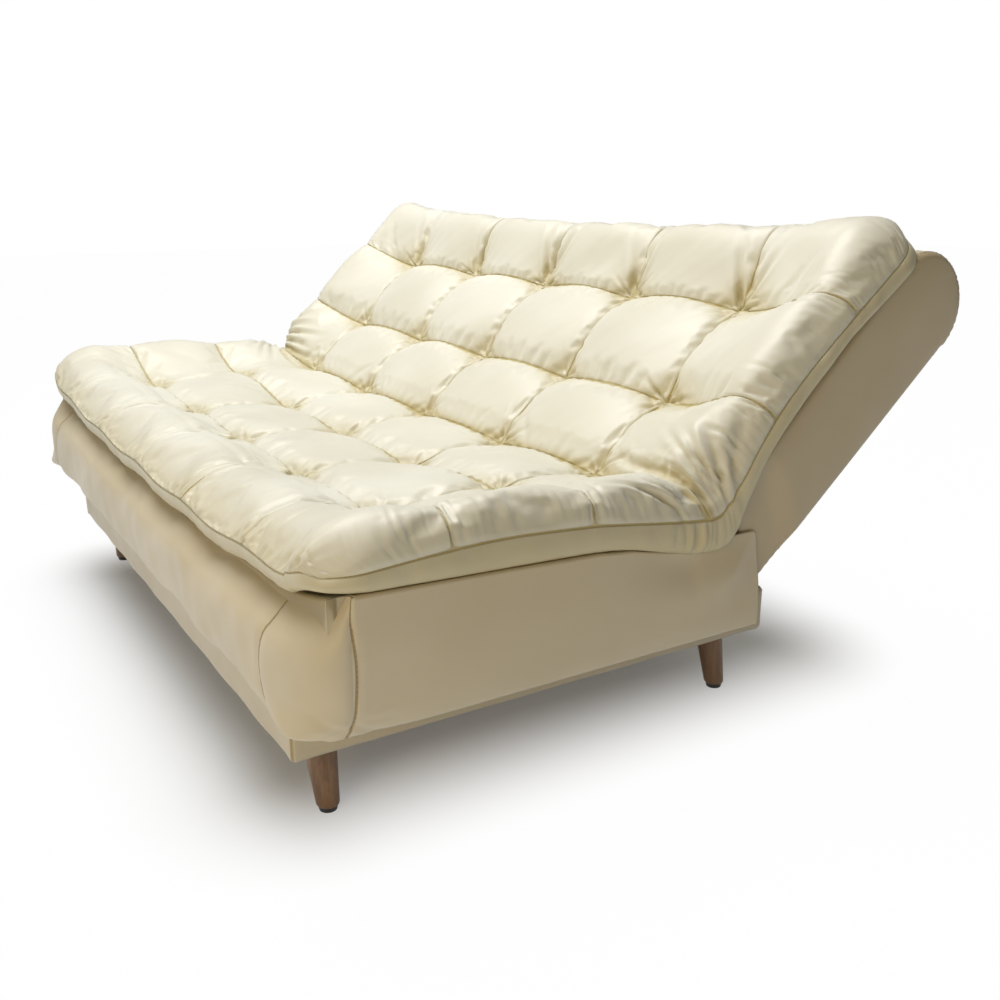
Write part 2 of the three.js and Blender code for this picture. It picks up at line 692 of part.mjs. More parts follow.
function makeBackFrame(group) {
  const front = backFront - touch;
  const railFront = front - backDeckThickness - touch;
  const railRear = railFront - backRailDepth;
  const rollRadius = (backFront - backRearHigh) / 2;
  const frameEnd = backLength - rollRadius;
  const x = [-backRailInner + touch, backRailInner - touch];
  const rails = [['bottom', hingeSetback], ['top', frameEnd - backRailWidth]];
  for (const [name, start] of rails) {
    const rail = block(x, [start, start + backRailWidth], [railRear, railFront]);
    addPiece(group, `back_${name}_rail`, rail, pine);
  }
  const between = [hingeSetback + backRailWidth + touch, frameEnd - backRailWidth - touch];
  const centreX = [-joistThickness / 2, joistThickness / 2];
  addPiece(group, 'back_centre_rail', block(centreX, between, [railRear, railFront]), pine);
  const wide = [-backRailOuter, backRailOuter];
  const deck = block(wide, [hingeSetback, frameEnd], [front - backDeckThickness, front]);
  addPiece(group, 'back_deck', deck, pine);

  const rearOutline = [
    point(hingeSetback, backRear(hingeSetback)), point(frameEnd, backRear(frameEnd)),
    point(frameEnd, railRear - touch), point(hingeSetback, railRear - touch)];
  addPiece(group, 'back_rear_panel', plate(rearOutline, wide), shadeLeather);

  const arcRadius = hingeSetback * 2 + backHeelClear;
  const sideOutline = [point(frameEnd, backRear(frameEnd)), point(frameEnd, front)];
  const highAngle = Math.asin(front / arcRadius) / degree;
  for (let k = 0; k <= arcSteps; k += 1) {
    sideOutline.push(polar(arcRadius, highAngle + (backHeelAngle - highAngle) * k / arcSteps));
  }
  const lowU = sideOutline[sideOutline.length - 1].x;
  sideOutline.push(point(lowU, backRear(lowU)));
  for (const [name, side] of sides) {
    const railX = across(side, backRailInner, backRailOuter);
    const rail = block(railX, [hingeSetback, frameEnd], [railRear, railFront]);
    addPiece(group, `back_side_rail_${name}`, rail, pine);
    const panelX = across(side, backRailOuter + touch, backRailOuter + touch + backSideThickness);
    addPiece(group, `back_side_panel_${name}`, plate(sideOutline.slice().reverse(), panelX), shadeLeather);
  }

  const middle = backFront - rollRadius;
  const rollOutline = new THREE.Shape();
  const padded = rollRadius - rollRelief;
  rollOutline.moveTo(frameEnd + touch, middle - padded);
  rollOutline.absarc(frameEnd + touch, middle, padded, -Math.PI / 2, Math.PI / 2, false);
  const rollHalf = backRailOuter + touch + backSideThickness;
  addPiece(group, 'back_top_roll', plate(rollOutline, [-rollHalf, rollHalf]), shadeLeather);
}

function makeBackPad(group) {
  const startLow = mitreSlope * backFront + mitreRelief;
  const startLean = mitreSlope * pipingHeight + padRelief - mitreRelief;
  const rowLines = [startLow, ...backRows];
  const pad = tuftedPad(padColumns(), rowLines, () => backFront, backPadCrown, [startLean, 0]);
  addPiece(group, 'back_pad', pad, leather);
}

const seat = new THREE.Group();
makeLegs(seat);
makePlinth(seat);
makeSeatFrame(seat);
makeSeatPanels(seat);
makeNose(seat);
makeSeatPad(seat);
makeSeatPlates(seat);

const back = new THREE.Group();
makeBackFrame(back);
makeBackPad(back);
makeBackPlates(back);
makePawls(back);
back.position.set(0, hingeY, hingeHeight);
back.rotation.x = loungeAngle * degree;

const sofa = new THREE.Group();
sofa.add(seat, back);

// The origin is on the floor under the middle of the whole sofa.
sofa.updateMatrixWorld(true);
const extent = new THREE.Box3().setFromObject(sofa, true);
sofa.position.y = -(extent.min.y + extent.max.y) / 2;
sofa.updateMatrixWorld(true);

export default sofa;
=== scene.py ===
import json
import math

import bmesh
import bpy
import numpy as np
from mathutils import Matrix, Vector


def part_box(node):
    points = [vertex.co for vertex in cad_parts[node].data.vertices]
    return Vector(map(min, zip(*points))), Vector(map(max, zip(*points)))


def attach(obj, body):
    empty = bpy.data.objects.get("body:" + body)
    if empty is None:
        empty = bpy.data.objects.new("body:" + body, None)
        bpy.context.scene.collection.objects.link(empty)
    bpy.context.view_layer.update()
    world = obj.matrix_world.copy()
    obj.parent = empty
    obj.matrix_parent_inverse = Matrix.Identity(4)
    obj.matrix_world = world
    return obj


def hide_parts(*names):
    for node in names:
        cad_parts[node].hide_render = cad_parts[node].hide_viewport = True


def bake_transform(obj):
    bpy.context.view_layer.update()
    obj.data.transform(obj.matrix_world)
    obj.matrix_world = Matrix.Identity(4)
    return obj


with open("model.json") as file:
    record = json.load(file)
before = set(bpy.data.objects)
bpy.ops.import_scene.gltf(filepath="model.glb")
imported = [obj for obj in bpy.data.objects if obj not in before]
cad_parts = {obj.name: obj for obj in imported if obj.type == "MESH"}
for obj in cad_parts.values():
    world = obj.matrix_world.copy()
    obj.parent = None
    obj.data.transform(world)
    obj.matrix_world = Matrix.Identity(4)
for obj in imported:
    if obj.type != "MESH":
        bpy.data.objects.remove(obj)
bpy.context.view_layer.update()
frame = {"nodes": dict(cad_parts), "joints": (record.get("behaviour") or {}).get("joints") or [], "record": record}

# Side view coordinates below count y from the front of the seat box; FRONT turns them into the model's y.
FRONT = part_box("plinth_front")[0].y
HINGE = Vector(frame["joints"][0]["pos_m"])
HY, HZ = HINGE.y - FRONT, HINGE.z
HALF = 0.9
PITCH = 0.315
TURN = math.radians(43)
SLOPE = math.tan(math.radians(4))
UP = np.array([math.cos(TURN), math.sin(TURN)])
OUT = np.array([-math.sin(TURN), math.cos(TURN)])


def back_point(u, v):
    """A point of the back in the side view: u up along the back from the hinge, v out of its front."""
    return np.array([HY, HZ]) + np.multiply.outer(u, UP) + np.multiply.outer(v, OUT)


def smooth(t):
    """A soft step from 0 to 1."""
    t = np.clip(t, 0, 1)
    return t * t * (3 - 2 * t)


def waves(seed, *axes):
    """Gentle repeatable unevenness from a few sines; each axis is (values, wavelength)."""
    rng = np.random.default_rng(seed)
    total = 0
    for k in range(4):
        phase = rng.uniform(0, 6.28)
        for values, length in axes:
            turn = rng.uniform(0.7, 1.5) * rng.choice([-1, 1])
            phase = phase + values / length * 6.28 * turn
        total = total + np.sin(phase) / 4
    return total


def bell(values, middle, width):
    """1 at the middle, falling softly to 0 on both sides."""
    return np.exp(-((values - middle) / width) ** 2)


def lengths(points):
    """How far along a polyline each of its points lies."""
    step = np.linalg.norm(np.diff(points, axis=0), axis=1)
    return np.concatenate([[0], np.cumsum(step)])


def resample(points, count=None, at=None):
    """Points along a polyline, evenly spread or at given lengths."""
    points = np.asarray(points, float)
    length = lengths(points)
    if at is None:
        at = np.linspace(0, length[-1], count)
    return np.stack([np.interp(at, length, points[:, k]) for k in range(points.shape[1])], axis=-1)


def unit(vectors, least=0.0):
    """Vectors in the last axis brought to length 1."""
    return vectors / np.maximum(np.linalg.norm(vectors, axis=-1, keepdims=True), least)


def round_line(points, before=None, after=None):
    """A smooth line through the given points; the points before and after them set its ends' directions."""
    points = np.asarray(points, float)
    before = 2 * points[0] - points[1] if before is None else before
    after = 2 * points[-1] - points[-2] if after is None else after
    full = np.vstack([before, points, after])
    curve = []
    for k in range(1, len(full) - 2):
        a, b, c, d = full[k - 1:k + 3]
        for t in np.linspace(0, 1, 12, endpoint=False):
            curve.append(0.5 * ((2 * b) + (c - a) * t + (2 * a - 5 * b + 4 * c - d) * t * t
                                + (3 * b - a - 3 * c + d) * t ** 3))
    curve.append(points[-1])
    return np.array(curve)


def bezier(a, b, c, count):
    """Points of the curve from a to c that b pulls."""
    t = np.linspace(0, 1, count)[:, None]
    return (1 - t) ** 2 * np.array(a) + 2 * t * (1 - t) * np.array(b) + t * t * np.array(c)


def face_outward(mesh):
    """Turns a closed mesh's faces outward."""
    work = bmesh.new()
    work.from_mesh(mesh)
    bmesh.ops.recalc_face_normals(work, faces=work.faces)
    work.to_mesh(mesh)
    work.free()
    mesh.update()


def make_mesh(name, points, faces, material, body=None, smooth_shade=True, values=None):
    """A mesh object; one that rides whole on a body is closed, and its faces are turned outward."""
    mesh = bpy.data.meshes.new(name)
    mesh.from_pydata([tuple(p) for p in np.reshape(points, (-1, 3))], [], [tuple(map(int, f)) for f in faces])
    mesh.validate()
    if smooth_shade:
        mesh.polygons.foreach_set("use_smooth", [True] * len(mesh.polygons))
    for key, data in (values or {}).items():
        layer = mesh.attributes.new(key, "FLOAT", "POINT")
        layer.data.foreach_set("value", np.asarray(data, np.float32).ravel())
    mesh.materials.append(material)
    obj = bpy.data.objects.new(name, mesh)
    bpy.context.scene.collection.objects.link(obj)
    if body:
        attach(obj, body)
        face_outward(mesh)
    return obj


def grid_faces(rows, columns, start=0, wrap=False, flip=False):
    """Faces of a grid of points; wrap joins its last column to the first, flip turns the faces over."""
    faces = []
    for r in range(rows - 1):
        for c in range(columns if wrap else columns - 1):
            a = start + r * columns + c
            b = start + r * columns + (c + 1) % columns
            c, d = b + columns, a + columns
            faces.append((b, a, d, c) if flip else (a, b, c, d))
    return faces


def to_model(x, yz):
    """Joins x with side view points into model points."""
    yz = np.asarray(yz)
    x = np.broadcast_to(x, yz.shape[:-1])
    return np.stack([x, yz[..., 0] + FRONT, yz[..., 1]], axis=-1)


# Camera, fitted to the photo, then materials, floor and lights

camera_data = bpy.data.cameras.new("camera")
camera_data.sensor_width = 36
camera_data.lens = 37.93
camera = bpy.data.objects.new("camera", camera_data)
camera.location = (2.038, -1.029, 0.932)
camera.rotation_euler = (math.radians(90 - 16.65), 0, math.radians(58.25))
bpy.context.scene.collection.objects.link(camera)
bpy.context.scene.camera = camera
bpy.context.scene.view_settings.view_transform = "Standard"


def new_material(name):
    material = bpy.data.materials.new(name)
    material.use_nodes = True
    tree = material.node_tree
    return material, tree, tree.nodes["Principled BSDF"]


def put(tree, socket, value):
    """Links an output to the socket, or sets the socket's own number or colour."""
    if isinstance(value, bpy.types.NodeSocket):
        tree.links.new(value, socket)
    elif isinstance(value, tuple) and len(value) == 3:
        socket.default_value = (*value, 1)
    else:
        socket.default_value = value


def set_node(tree, node, **settings):
    """Sets a node's inputs, by name with _ for each space, and its other settings."""
    for key, value in settings.items():
        name = key.replace("_", " ")
        if name in node.inputs:
            put(tree, node.inputs[name], value)
        else:
            setattr(node, key, value)
    return node


def add_node(tree, kind, **settings):
    return set_node(tree, tree.nodes.new(kind), **settings)


def object_place(tree):
    return add_node(tree, "ShaderNodeTexCoord").outputs["Object"]


def attribute(tree, name):
    return add_node(tree, "ShaderNodeAttribute", attribute_name=name).outputs["Fac"]


def noise(tree, scale, detail=3.0, source=None, rough=0.5):
    source = object_place(tree) if source is None else source
    return add_node(tree, "ShaderNodeTexNoise", Scale=scale, Detail=detail, Roughness=rough,
                    Vector=source).outputs["Fac"]


def math_node(tree, operation, a, b=0.0, clamp=False):
    node = add_node(tree, "ShaderNodeMath", operation=operation, use_clamp=clamp)
    put(tree, node.inputs[0], a)
    put(tree, node.inputs[1], b)
    return node.outputs[0]


def map_range(tree, value, low, high, to_low=0.0, to_high=1.0):
    """A soft step of the value between low and high."""
    node = add_node(tree, "ShaderNodeMapRange", interpolation_type="SMOOTHSTEP", Value=value,
                    From_Min=low, From_Max=high, To_Min=to_low, To_Max=to_high)
    return node.outputs["Result"]


def mix_colour(tree, share, first, second):
    node = add_node(tree, "ShaderNodeMix", data_type="RGBA")
    for k, value in ((0, share), (6, first), (7, second)):
        put(tree, node.inputs[k], value)
    return node.outputs[2]


def bump(tree, height, strength, distance, before=None):
    node = add_node(tree, "ShaderNodeBump", Strength=strength, Distance=distance, Height=height)
    if before is not None:
        put(tree, node.inputs["Normal"], before)
    return node.outputs["Normal"]


def toned(colour, share):
    """The colour made darker or lighter."""
    return tuple(min(1, c * share) for c in colour)


def leather(name, colour, deep, gloss):
    """Soft faux leather. The piece's "fold_shade" value paints shade by mixing in the deep colour. "seam" is the
    distance to a seam and "along" the place along it, both in metres, for the sewn line and its stitches, which
    the deep colour also darkens."""
    material, tree, shader = new_material(name)
    place = object_place(tree)
    seam = math_node(tree, "ABSOLUTE", attribute(tree, "seam"))
    broad = map_range(tree, noise(tree, 3.2, 3, place), 0.3, 0.7)
    shade = (colour[0] * 0.955, colour[1] * 0.94, colour[2] * 0.90)
    body = mix_colour(tree, broad, shade, toned(colour, 1.04))
    # Painted shade: the fold_shade value mixes up to six tenths of the deep colour into the leather.
    with_painted_shade = mix_colour(tree, map_range(tree, attribute(tree, "fold_shade"), 0.15, 1.0, 0, 0.6), body, deep)
    groove = map_range(tree, seam, 0.0007, 0.0032, 1.0, 0.0)
    line = mix_colour(tree, math_node(tree, "MULTIPLY", groove, 0.8), with_painted_shade, deep)
    stitch = math_node(tree, "FRACT", math_node(tree, "DIVIDE", attribute(tree, "along"), STITCH))
    off_stitch = math_node(tree, "ABSOLUTE", math_node(tree, "SUBTRACT", stitch, 0.5))
    thread = math_node(tree, "MULTIPLY", map_range(tree, off_stitch, 0.12, 0.2, 1, 0),
                       map_range(tree, seam, 0.0003, 0.0012, 1.0, 0.0))
    sewn = mix_colour(tree, math_node(tree, "MULTIPLY", thread, 0.6), line, toned(deep, 0.62))
    rough = map_range(tree, noise(tree, 7.0, 4, place), 0.3, 0.7, gloss - 0.05, gloss + 0.06)
    pores = add_node(tree, "ShaderNodeTexVoronoi", Scale=620.0, feature="DISTANCE_TO_EDGE", Vector=place)
    relief = bump(tree, noise(tree, 42.0, 5, place, 0.62), 0.10, 0.004)
    relief = bump(tree, pores.outputs["Distance"], 0.10, 0.0006, relief)
    relief = bump(tree, math_node(tree, "SUBTRACT", 1.0, groove), 0.7, 0.0018, relief)
    set_node(tree, shader, Base_Color=sewn, Roughness=rough, Specular_IOR_Level=0.5, Sheen_Weight=0.12,
             Sheen_Roughness=0.5, Coat_Weight=0.08, Coat_Roughness=0.32, Normal=relief)
    return material


def timber(name, pale, dark, gloss, scale, axis):
    """Wood with grain along one axis of the piece."""
    material, tree, shader = new_material(name)
    stretch = add_node(tree, "ShaderNodeMapping", Vector=object_place(tree),
                       Scale=[0.12 if k == axis else 1.0 for k in range(3)]).outputs["Vector"]
    grain = noise(tree, scale, 8, stretch, 0.62)
    fine = noise(tree, scale * 6, 4, stretch, 0.6)
    body = mix_colour(tree, map_range(tree, grain, 0.32, 0.68), dark, pale)
    full = mix_colour(tree, map_range(tree, fine, 0.45, 0.72, 0, 0.5), body, toned(dark, 0.72))
    set_node(tree, shader, Base_Color=full, Roughness=gloss, Normal=bump(tree, fine, 0.12, 0.001))
    return material


def metal(name, colour, gloss):
    material, tree, shader = new_material(name)
    marks = noise(tree, 90.0, 5)
    tint = mix_colour(tree, map_range(tree, marks, 0.35, 0.7), toned(colour, 0.86), colour)
    rough = map_range(tree, marks, 0.3, 0.7, gloss, gloss + 0.14)
    set_node(tree, shader, Base_Color=tint, Metallic=1, Roughness=rough,
             Normal=bump(tree, noise(tree, 400.0, 2), 0.05, 0.0005))
    return material


def plain(name, colour, gloss, scale):
    material, tree, shader = new_material(name)
    marks = noise(tree, scale, 4)
    tint = mix_colour(tree, marks, toned(colour, 0.8), toned(colour, 1.1))
    set_node(tree, shader, Base_Color=tint, Roughness=gloss, Normal=bump(tree, marks, 0.15, 0.0008))
    return material


STITCH = 0.0062
# Each leather's second colour is the painted shade for its folds, valleys and shaded faces. It also colours the
# sewn lines and their thread.
pad_leather = leather("pad_leather", (0.81, 0.80, 0.705), (0.50, 0.40, 0.13), 0.48)
# The box's leather is the pad's leather made darker and warmer: painted shade for faces that lie in shade.
shaded_box_leather = leather("shaded_box_leather", (0.67, 0.597, 0.445), (0.34, 0.23, 0.08), 0.46)
leg_timber = timber("leg_timber", (0.33, 0.20, 0.12), (0.20, 0.115, 0.065), 0.42, 55, 2)
frame_timber = timber("frame_timber", (0.62, 0.43, 0.24), (0.45, 0.28, 0.13), 0.65, 30, 0)
plated_steel = metal("plated_steel", (0.55, 0.56, 0.57), 0.28)
glide_black = plain("glide_black", (0.02, 0.02, 0.02), 0.5, 120)
bumper_rubber = plain("bumper_rubber", (0.015, 0.015, 0.015), 0.75, 200)


def ray_share(tree, *kinds):
    """1 for rays of the named kinds and 0 for the others."""
    path = add_node(tree, "ShaderNodeLightPath")
    share, *others = [path.outputs[f"Is {kind} Ray"] for kind in kinds]
    for other in others:
        share = math_node(tree, "ADD", share, other, True)
    return share


def finish_mix(tree, output, share, first, second):
    """Mixes two shaders by the share and ends the tree with its output."""
    mixed = tree.nodes.new("ShaderNodeMixShader")
    for socket, value in zip(mixed.inputs, (share, first.outputs[0], second.outputs[0])):
        put(tree, socket, value)
    add_node(tree, output, Surface=mixed.outputs[0])


def make_floor():
    """A pale floor that keeps the shadow near the sofa and fades to white away from it."""
    size = 14
    corners = [(-size, -size, 0), (size, -size, 0), (size, size, 0), (-size, size, 0)]
    material, tree, _ = new_material("floor_white")
    floor = make_mesh("floor", corners, [(0, 1, 2, 3)], material)
    tree.nodes.clear()
    place = add_node(tree, "ShaderNodeSeparateXYZ")
    put(tree, place.inputs[0], object_place(tree))
    away = []
    for axis, reach in (("X", 0.54), ("Y", 0.50)):
        beyond = math_node(tree, "SUBTRACT", math_node(tree, "ABSOLUTE", place.outputs[axis]), reach)
        beyond = math_node(tree, "MAXIMUM", beyond, 0.0)
        away.append(math_node(tree, "MULTIPLY", beyond, beyond))
    distance = math_node(tree, "SQRT", math_node(tree, "ADD", *away))
    fade = map_range(tree, distance, 0.0, 0.34, 0.10, 0.985)
    share = math_node(tree, "MULTIPLY", ray_share(tree, "Camera", "Glossy", "Transmission"), fade)
    diffuse = add_node(tree, "ShaderNodeBsdfDiffuse", Color=(0.82, 0.86, 0.91))
    white = add_node(tree, "ShaderNodeEmission", Color=(1, 1, 1), Strength=1.0)
    finish_mix(tree, "ShaderNodeOutputMaterial", share, diffuse, white)


def make_world():
    world = bpy.data.worlds.new("studio")
    bpy.context.scene.world = world
    world.use_nodes = True
    tree = world.node_tree
    tree.nodes.clear()
    soft = add_node(tree, "ShaderNodeBackground", Color=(1.0, 0.92, 0.78), Strength=0.17)
    white = add_node(tree, "ShaderNodeBackground", Color=(1, 1, 1), Strength=1.0)
    finish_mix(tree, "ShaderNodeOutputWorld", ray_share(tree, "Camera", "Transmission"), soft, white)


def add_light(name, place, aim, size, power, colour):
    data = bpy.data.lights.new(name, "AREA")
    data.shape = "RECTANGLE"
    data.size, data.size_y = size
    data.energy = power
    data.color = colour
    light = bpy.data.objects.new(name, data)
    light.location = place
    light.rotation_euler = (Vector(aim) - Vector(place)).to_track_quat("-Z", "Y").to_euler()
    bpy.context.scene.collection.objects.link(light)


make_floor()
make_world()
add_light("key", (-0.8, -0.55, 4.0), (0, 0, 0.4), (2.8, 2.2), 149, (1.0, 1.0, 1.0))
add_light("fill", (2.45, -3.0, 1.3), (0.6, -0.25, 0.3), (1.9, 1.5), 26, (1.0, 0.76, 0.38))

# The tufted pad, one piece over seat and back

# Heights over the underside, and the places of the tuft rows along seat and back
PIPING = 0.038
SEAT_CROWN = 0.106
BACK_CROWN = 0.098
BACK_UNDER = 0.04
SEAT_ROWS = (0.178, 0.403)
BACK_ROWS = (0.250, 0.466)
# By row, from the front rim to the top rim: how far the puffs sink inside the pad, and the sag amid its width
INNER_SINK = [0.66, 0.66, 0.66, 0.58, 0.48, 0.46, 0.46]
SAG = np.array([0, 0.020, 0.020, 0.020, 0.015, 0.015, 0.032])
# The piping and the lower edge of the pad's ends, in the side view
PIPING_LINE = [(-0.022, 0.462), (0.014, 0.465), (0.155, 0.475), (0.26, 0.478), (0.393, 0.470), (0.446, 0.464),
               (0.52, 0.454), (0.586, 0.446), (0.625, 0.442), (0.648, 0.446), (0.665, 0.462), (0.683, 0.484),
               (0.713, 0.531), (0.761, 0.594), (0.822, 0.656), (0.926, 0.744), (1.04, 0.839)]
LOWER_LINE = [(-0.022, 0.440), (0.05, 0.4385), (0.19, 0.433), (0.30, 0.429), (0.415, 0.424), (0.478, 0.416),
              (0.545, 0.400), (0.60, 0.388), (0.64, 0.385), (0.668, 0.390), (0.688, 0.412), (0.710, 0.462),
              (0.755, 0.538), (0.816, 0.604), (0.913, 0.698), (0.992, 0.756), (1.047, 0.799)]
# Where the pad starts and ends along seat and back, how its rims are rounded, and the crease
SEAT_START = -0.022
BACK_START = 0.125
BACK_END = 0.670
RIM_ROUND = 0.085
ROLL = 0.080
CREASE = np.array([0.614, 0.452])
CREASE_CROWN = np.array([0.592, 0.503])
# How full the puffs are, how high the seams rise between the tufts, and the sewn columns
PUFF_POWER = 0.50
ARC_POWER = 1.1
SEAM_SHARE = 0.54
COLUMNS = [-HALF, -2 * PITCH, -PITCH, 0.0, PITCH, 2 * PITCH, HALF]
TUFTS = COLUMNS[1:-1]
# The cloth simulation: its frames, the furthest that a point may move and the cloth's settings
SWELL_FRAMES = 14
SWELL_CAP = 0.006
CLOTH = {"quality": 5, "mass": 0.35, "tension_stiffness": 18, "compression_stiffness": 12,
         "shear_stiffness": 6, "bending_stiffness": 1.2, "vertex_group_mass": "pin", "pin_stiffness": 2.0,
         "shrink_min": -0.030, "use_pressure": True, "uniform_pressure_force": 2.2}


def under_seat(y):
    """The height of the pad's underside along the seat."""
    return 0.44 - SLOPE * y


def pad_profile():
    """The full crown of the pad in the side view, the way in from it, and how far along the tuft rows are."""
    seat_end, join = 0.545, (0.590, 0.496)
    crown_v = BACK_CROWN + BACK_UNDER
    phi = np.linspace(0, math.pi / 2, 40)
    top = under_seat(RIM_ROUND) + SEAT_CROWN
    low = under_seat(SEAT_START) + PIPING
    front_y = RIM_ROUND - (RIM_ROUND - SEAT_START) * np.cos(phi)
    front = np.stack([front_y, low + (top - low) * np.sin(phi)], -1)
    y = np.linspace(RIM_ROUND, seat_end, 80)[1:]
    seat = np.stack([y, under_seat(y) + SEAT_CROWN], -1)
    corner = bezier(seat[-1], join, back_point(BACK_START, crown_v), 24)[1:]
    u = np.linspace(BACK_START, BACK_END - RIM_ROUND, 80)[1:]
    back = back_point(u, np.full(len(u), crown_v))
    psi = np.linspace(0, math.pi / 2, 36)[1:]
    end = back_point(BACK_END - RIM_ROUND + RIM_ROUND * np.sin(psi),
                     PIPING + BACK_UNDER + (BACK_CROWN - PIPING) * np.cos(psi))
    line = np.concatenate([front, seat, corner, back, end])
    length = lengths(line)
    marks = [(y, under_seat(y) + SEAT_CROWN) for y in SEAT_ROWS]
    marks += [CREASE_CROWN, *[back_point(u, crown_v) for u in BACK_ROWS]]
    nearest = [length[np.argmin(np.linalg.norm(line - mark, axis=1))] for mark in marks]
    inward = [(1, 0.25), (0.1, -1), (0.02, -1), (0.30, -0.95), -OUT, -OUT, -UP - OUT]
    return line, length, np.array([0.0, *nearest, length[-1]]), np.array(inward, float)


def cell_share(lines, counts):
    """Places along the sewn grid, closer together beside its lines, with the cell and share of each."""
    places, cells, shares = [], [], []
    for k, count in enumerate(counts):
        t = np.linspace(0, 1, count + 1)[:-1]
        share = 0.55 * t + 0.45 * (1 - np.cos(math.pi * t)) / 2
        places.extend(lines[k] + (lines[k + 1] - lines[k]) * share)
        cells.extend([k] * count)
        shares.extend(share)
    places.append(lines[-1])
    cells.append(len(counts) - 1)
    shares.append(1.0)
    return np.array(places), np.array(cells), np.array(shares)


def puff_wave(cells, shares, last):
    """0 on the sewn lines and 1 amid each cell; the outer cells stay at 1 towards the rim."""
    phase = np.where(cells == 0, 0.5 + shares / 2, np.where(cells == last, shares / 2, shares))
    return np.abs(np.sin(math.pi * phase))


def edge_height(distance, reach):
    """A quarter round from 0 at an edge up to 1 at its reach."""
    left = 1 - np.clip(distance / reach, 0, 1)
    return np.sqrt(np.maximum(0, 1 - left * left))


def square_to_round(a, b):
    """Maps a unit square's corner onto a round one."""
    return a * np.sqrt(1 - b * b / 2), b * np.sqrt(1 - a * a / 2)


def round_plan(x, y, start, end, radius):
    """Rounds the pad's corners in plan: x across, y along the pad between start and end."""
    x, y = np.broadcast_arrays(np.array(x, float), np.array(y, float))
    x, y = x.copy(), y.copy()
    for edge, sign in ((start, 1), (end, -1)):
        if edge is None:
            continue
        a = (np.abs(x) - (HALF - radius)) / radius
        b = ((edge + sign * radius) - y) * sign / radius
        inside = (a > 0) & (b > 0)
        ra, rb = square_to_round(np.clip(a, 0, 1), np.clip(b, 0, 1))
        x = np.where(inside, np.sign(x) * (HALF - radius + radius * ra), x)
        y = np.where(inside, edge + sign * (radius - radius * rb), y)
    return x, y


def droop(x, y, corner, middle):
    """How far the front edge hangs down, at the corners and in the middle of the width."""
    share = 1 - np.abs(np.clip(x / HALF, -1, 1)) ** 3
    scallop = 0.004 * np.cos(2 * math.pi * x / PITCH + math.pi) * (np.abs(x) < 0.8)
    return (corner * smooth((0.95 - np.abs(x)) / 0.2) + middle * share + scallop) * smooth((0.13 - y) / 0.16)


def settle(x, y):
    """How much lower the front roll lies in the middle of the width, a little less on its puffs."""
    middle = np.interp(np.abs(x), [0.40, 0.63, 0.76, 0.86], [1.0, 0.62, 0.25, 0.0])
    depth = np.interp(y, [-0.02, 0, 0.02, 0.06, 0.10, 0.14, 0.178, 0.21],
                      [0, 0.010, 0.016, 0.032, 0.048, 0.040, 0.006, 0])
    puff = np.sqrt(np.abs(np.sin(math.pi * x / PITCH))) * (np.abs(x) < 2 * PITCH)
    return middle * depth * (1 - 0.25 * puff)


def sag_share(x):
    """The pad lies lower in the middle of its width than at its ends."""
    return np.maximum(0, 1 - (np.abs(x) / 0.87) ** 2.2)


def pad_base():
    """Points of the pad's top, by row and column, with what the seams and folds need to know."""
    line, length, rows, inward = pad_profile()
    s, row_cell, row_share = cell_share(rows, (36, 26, 26, 30, 26, 34))
    x, col_cell, col_share = cell_share(COLUMNS, (34, 36, 36, 36, 36, 34))
    base = np.stack([np.interp(s, length, line[:, k]) for k in range(2)], -1)
    turn = unit(np.stack([np.interp(s, rows, inward[:, k]) for k in range(2)], -1))
    depth = np.interp(s, rows, [0.084] * 3 + [np.linalg.norm(CREASE - CREASE_CROWN)] + [0.080] * 3)
    depth = depth * np.minimum(edge_height(s - rows[0], 0.11), edge_height(rows[-1] - s, 0.11))
    wave_x = puff_wave(col_cell, col_share, 5)
    wave_s = puff_wave(row_cell, row_share, 5)
    wx, ws = wave_x[None, :], wave_s[:, None]
    puff_x, puff_s = wx ** PUFF_POWER, ws ** PUFF_POWER
    full = puff_x * puff_s + SEAM_SHARE * ((1 - puff_x) * ws ** ARC_POWER + (1 - puff_s) * wx ** ARC_POWER)
    from_end = (HALF - np.abs(x))[None, :]
    from_front = (s - rows[0])[:, None]
    from_top = (rows[-1] - s)[:, None]
    edge = edge_height(from_end, ROLL)

    # Seams are shallow near the rims, apart from the crease, and the puffs sink inside the rims.
    across = 0.22 + 0.78 * smooth(from_end / 0.24)
    valley = across + (1 - across) * bell(s, rows[3], 0.06)[:, None]
    valley = valley * (0.35 + 0.65 * smooth(from_front / 0.20)) * (0.30 + 0.70 * smooth(from_top / 0.19))
    full = 1 - (1 - full) * valley
    # How deep each point lies in a valley, less near the rims. It becomes painted shade in the valleys.
    tint = (1 - full) * edge
    inner = smooth((from_end - 0.03) / 0.20) * smooth((from_front + 0.01) / 0.12)
    inner = inner * smooth((from_top - 0.05) / 0.18)
    full = full * (1 - np.interp(s, rows, INNER_SINK)[:, None] * inner)

    crown = np.interp(s, [rows[1], rows[5]], [SEAT_CROWN, BACK_CROWN])
    crown = np.where(s < rows[1], PIPING + (SEAT_CROWN - PIPING) * edge_height(s, 0.12), crown)
    crown = np.where(s > rows[5], PIPING + (BACK_CROWN - PIPING) * edge_height(rows[6] - s, 0.10), crown)
    below = (1 - full) * depth[:, None] * edge + (1 - edge) * (crown - PIPING)[:, None]
    sag = np.interp(s, rows, SAG)[:, None] * sag_share(x)[None, :]
    lift = 0.027 * bell(np.abs(x), 0.60, 0.15)[None, :] * bell(s, rows[2], 0.12)[:, None]
    below = np.minimum(below + sag, (crown - 0.004)[:, None]) - lift
    grid = base[:, None, :] + turn[:, None, :] * below[..., None]
    return {"grid": grid, "x": x, "s": s, "rows": rows, "tint": tint, "turn": turn,
            "wave_x": wave_x, "wave_s": wave_s}


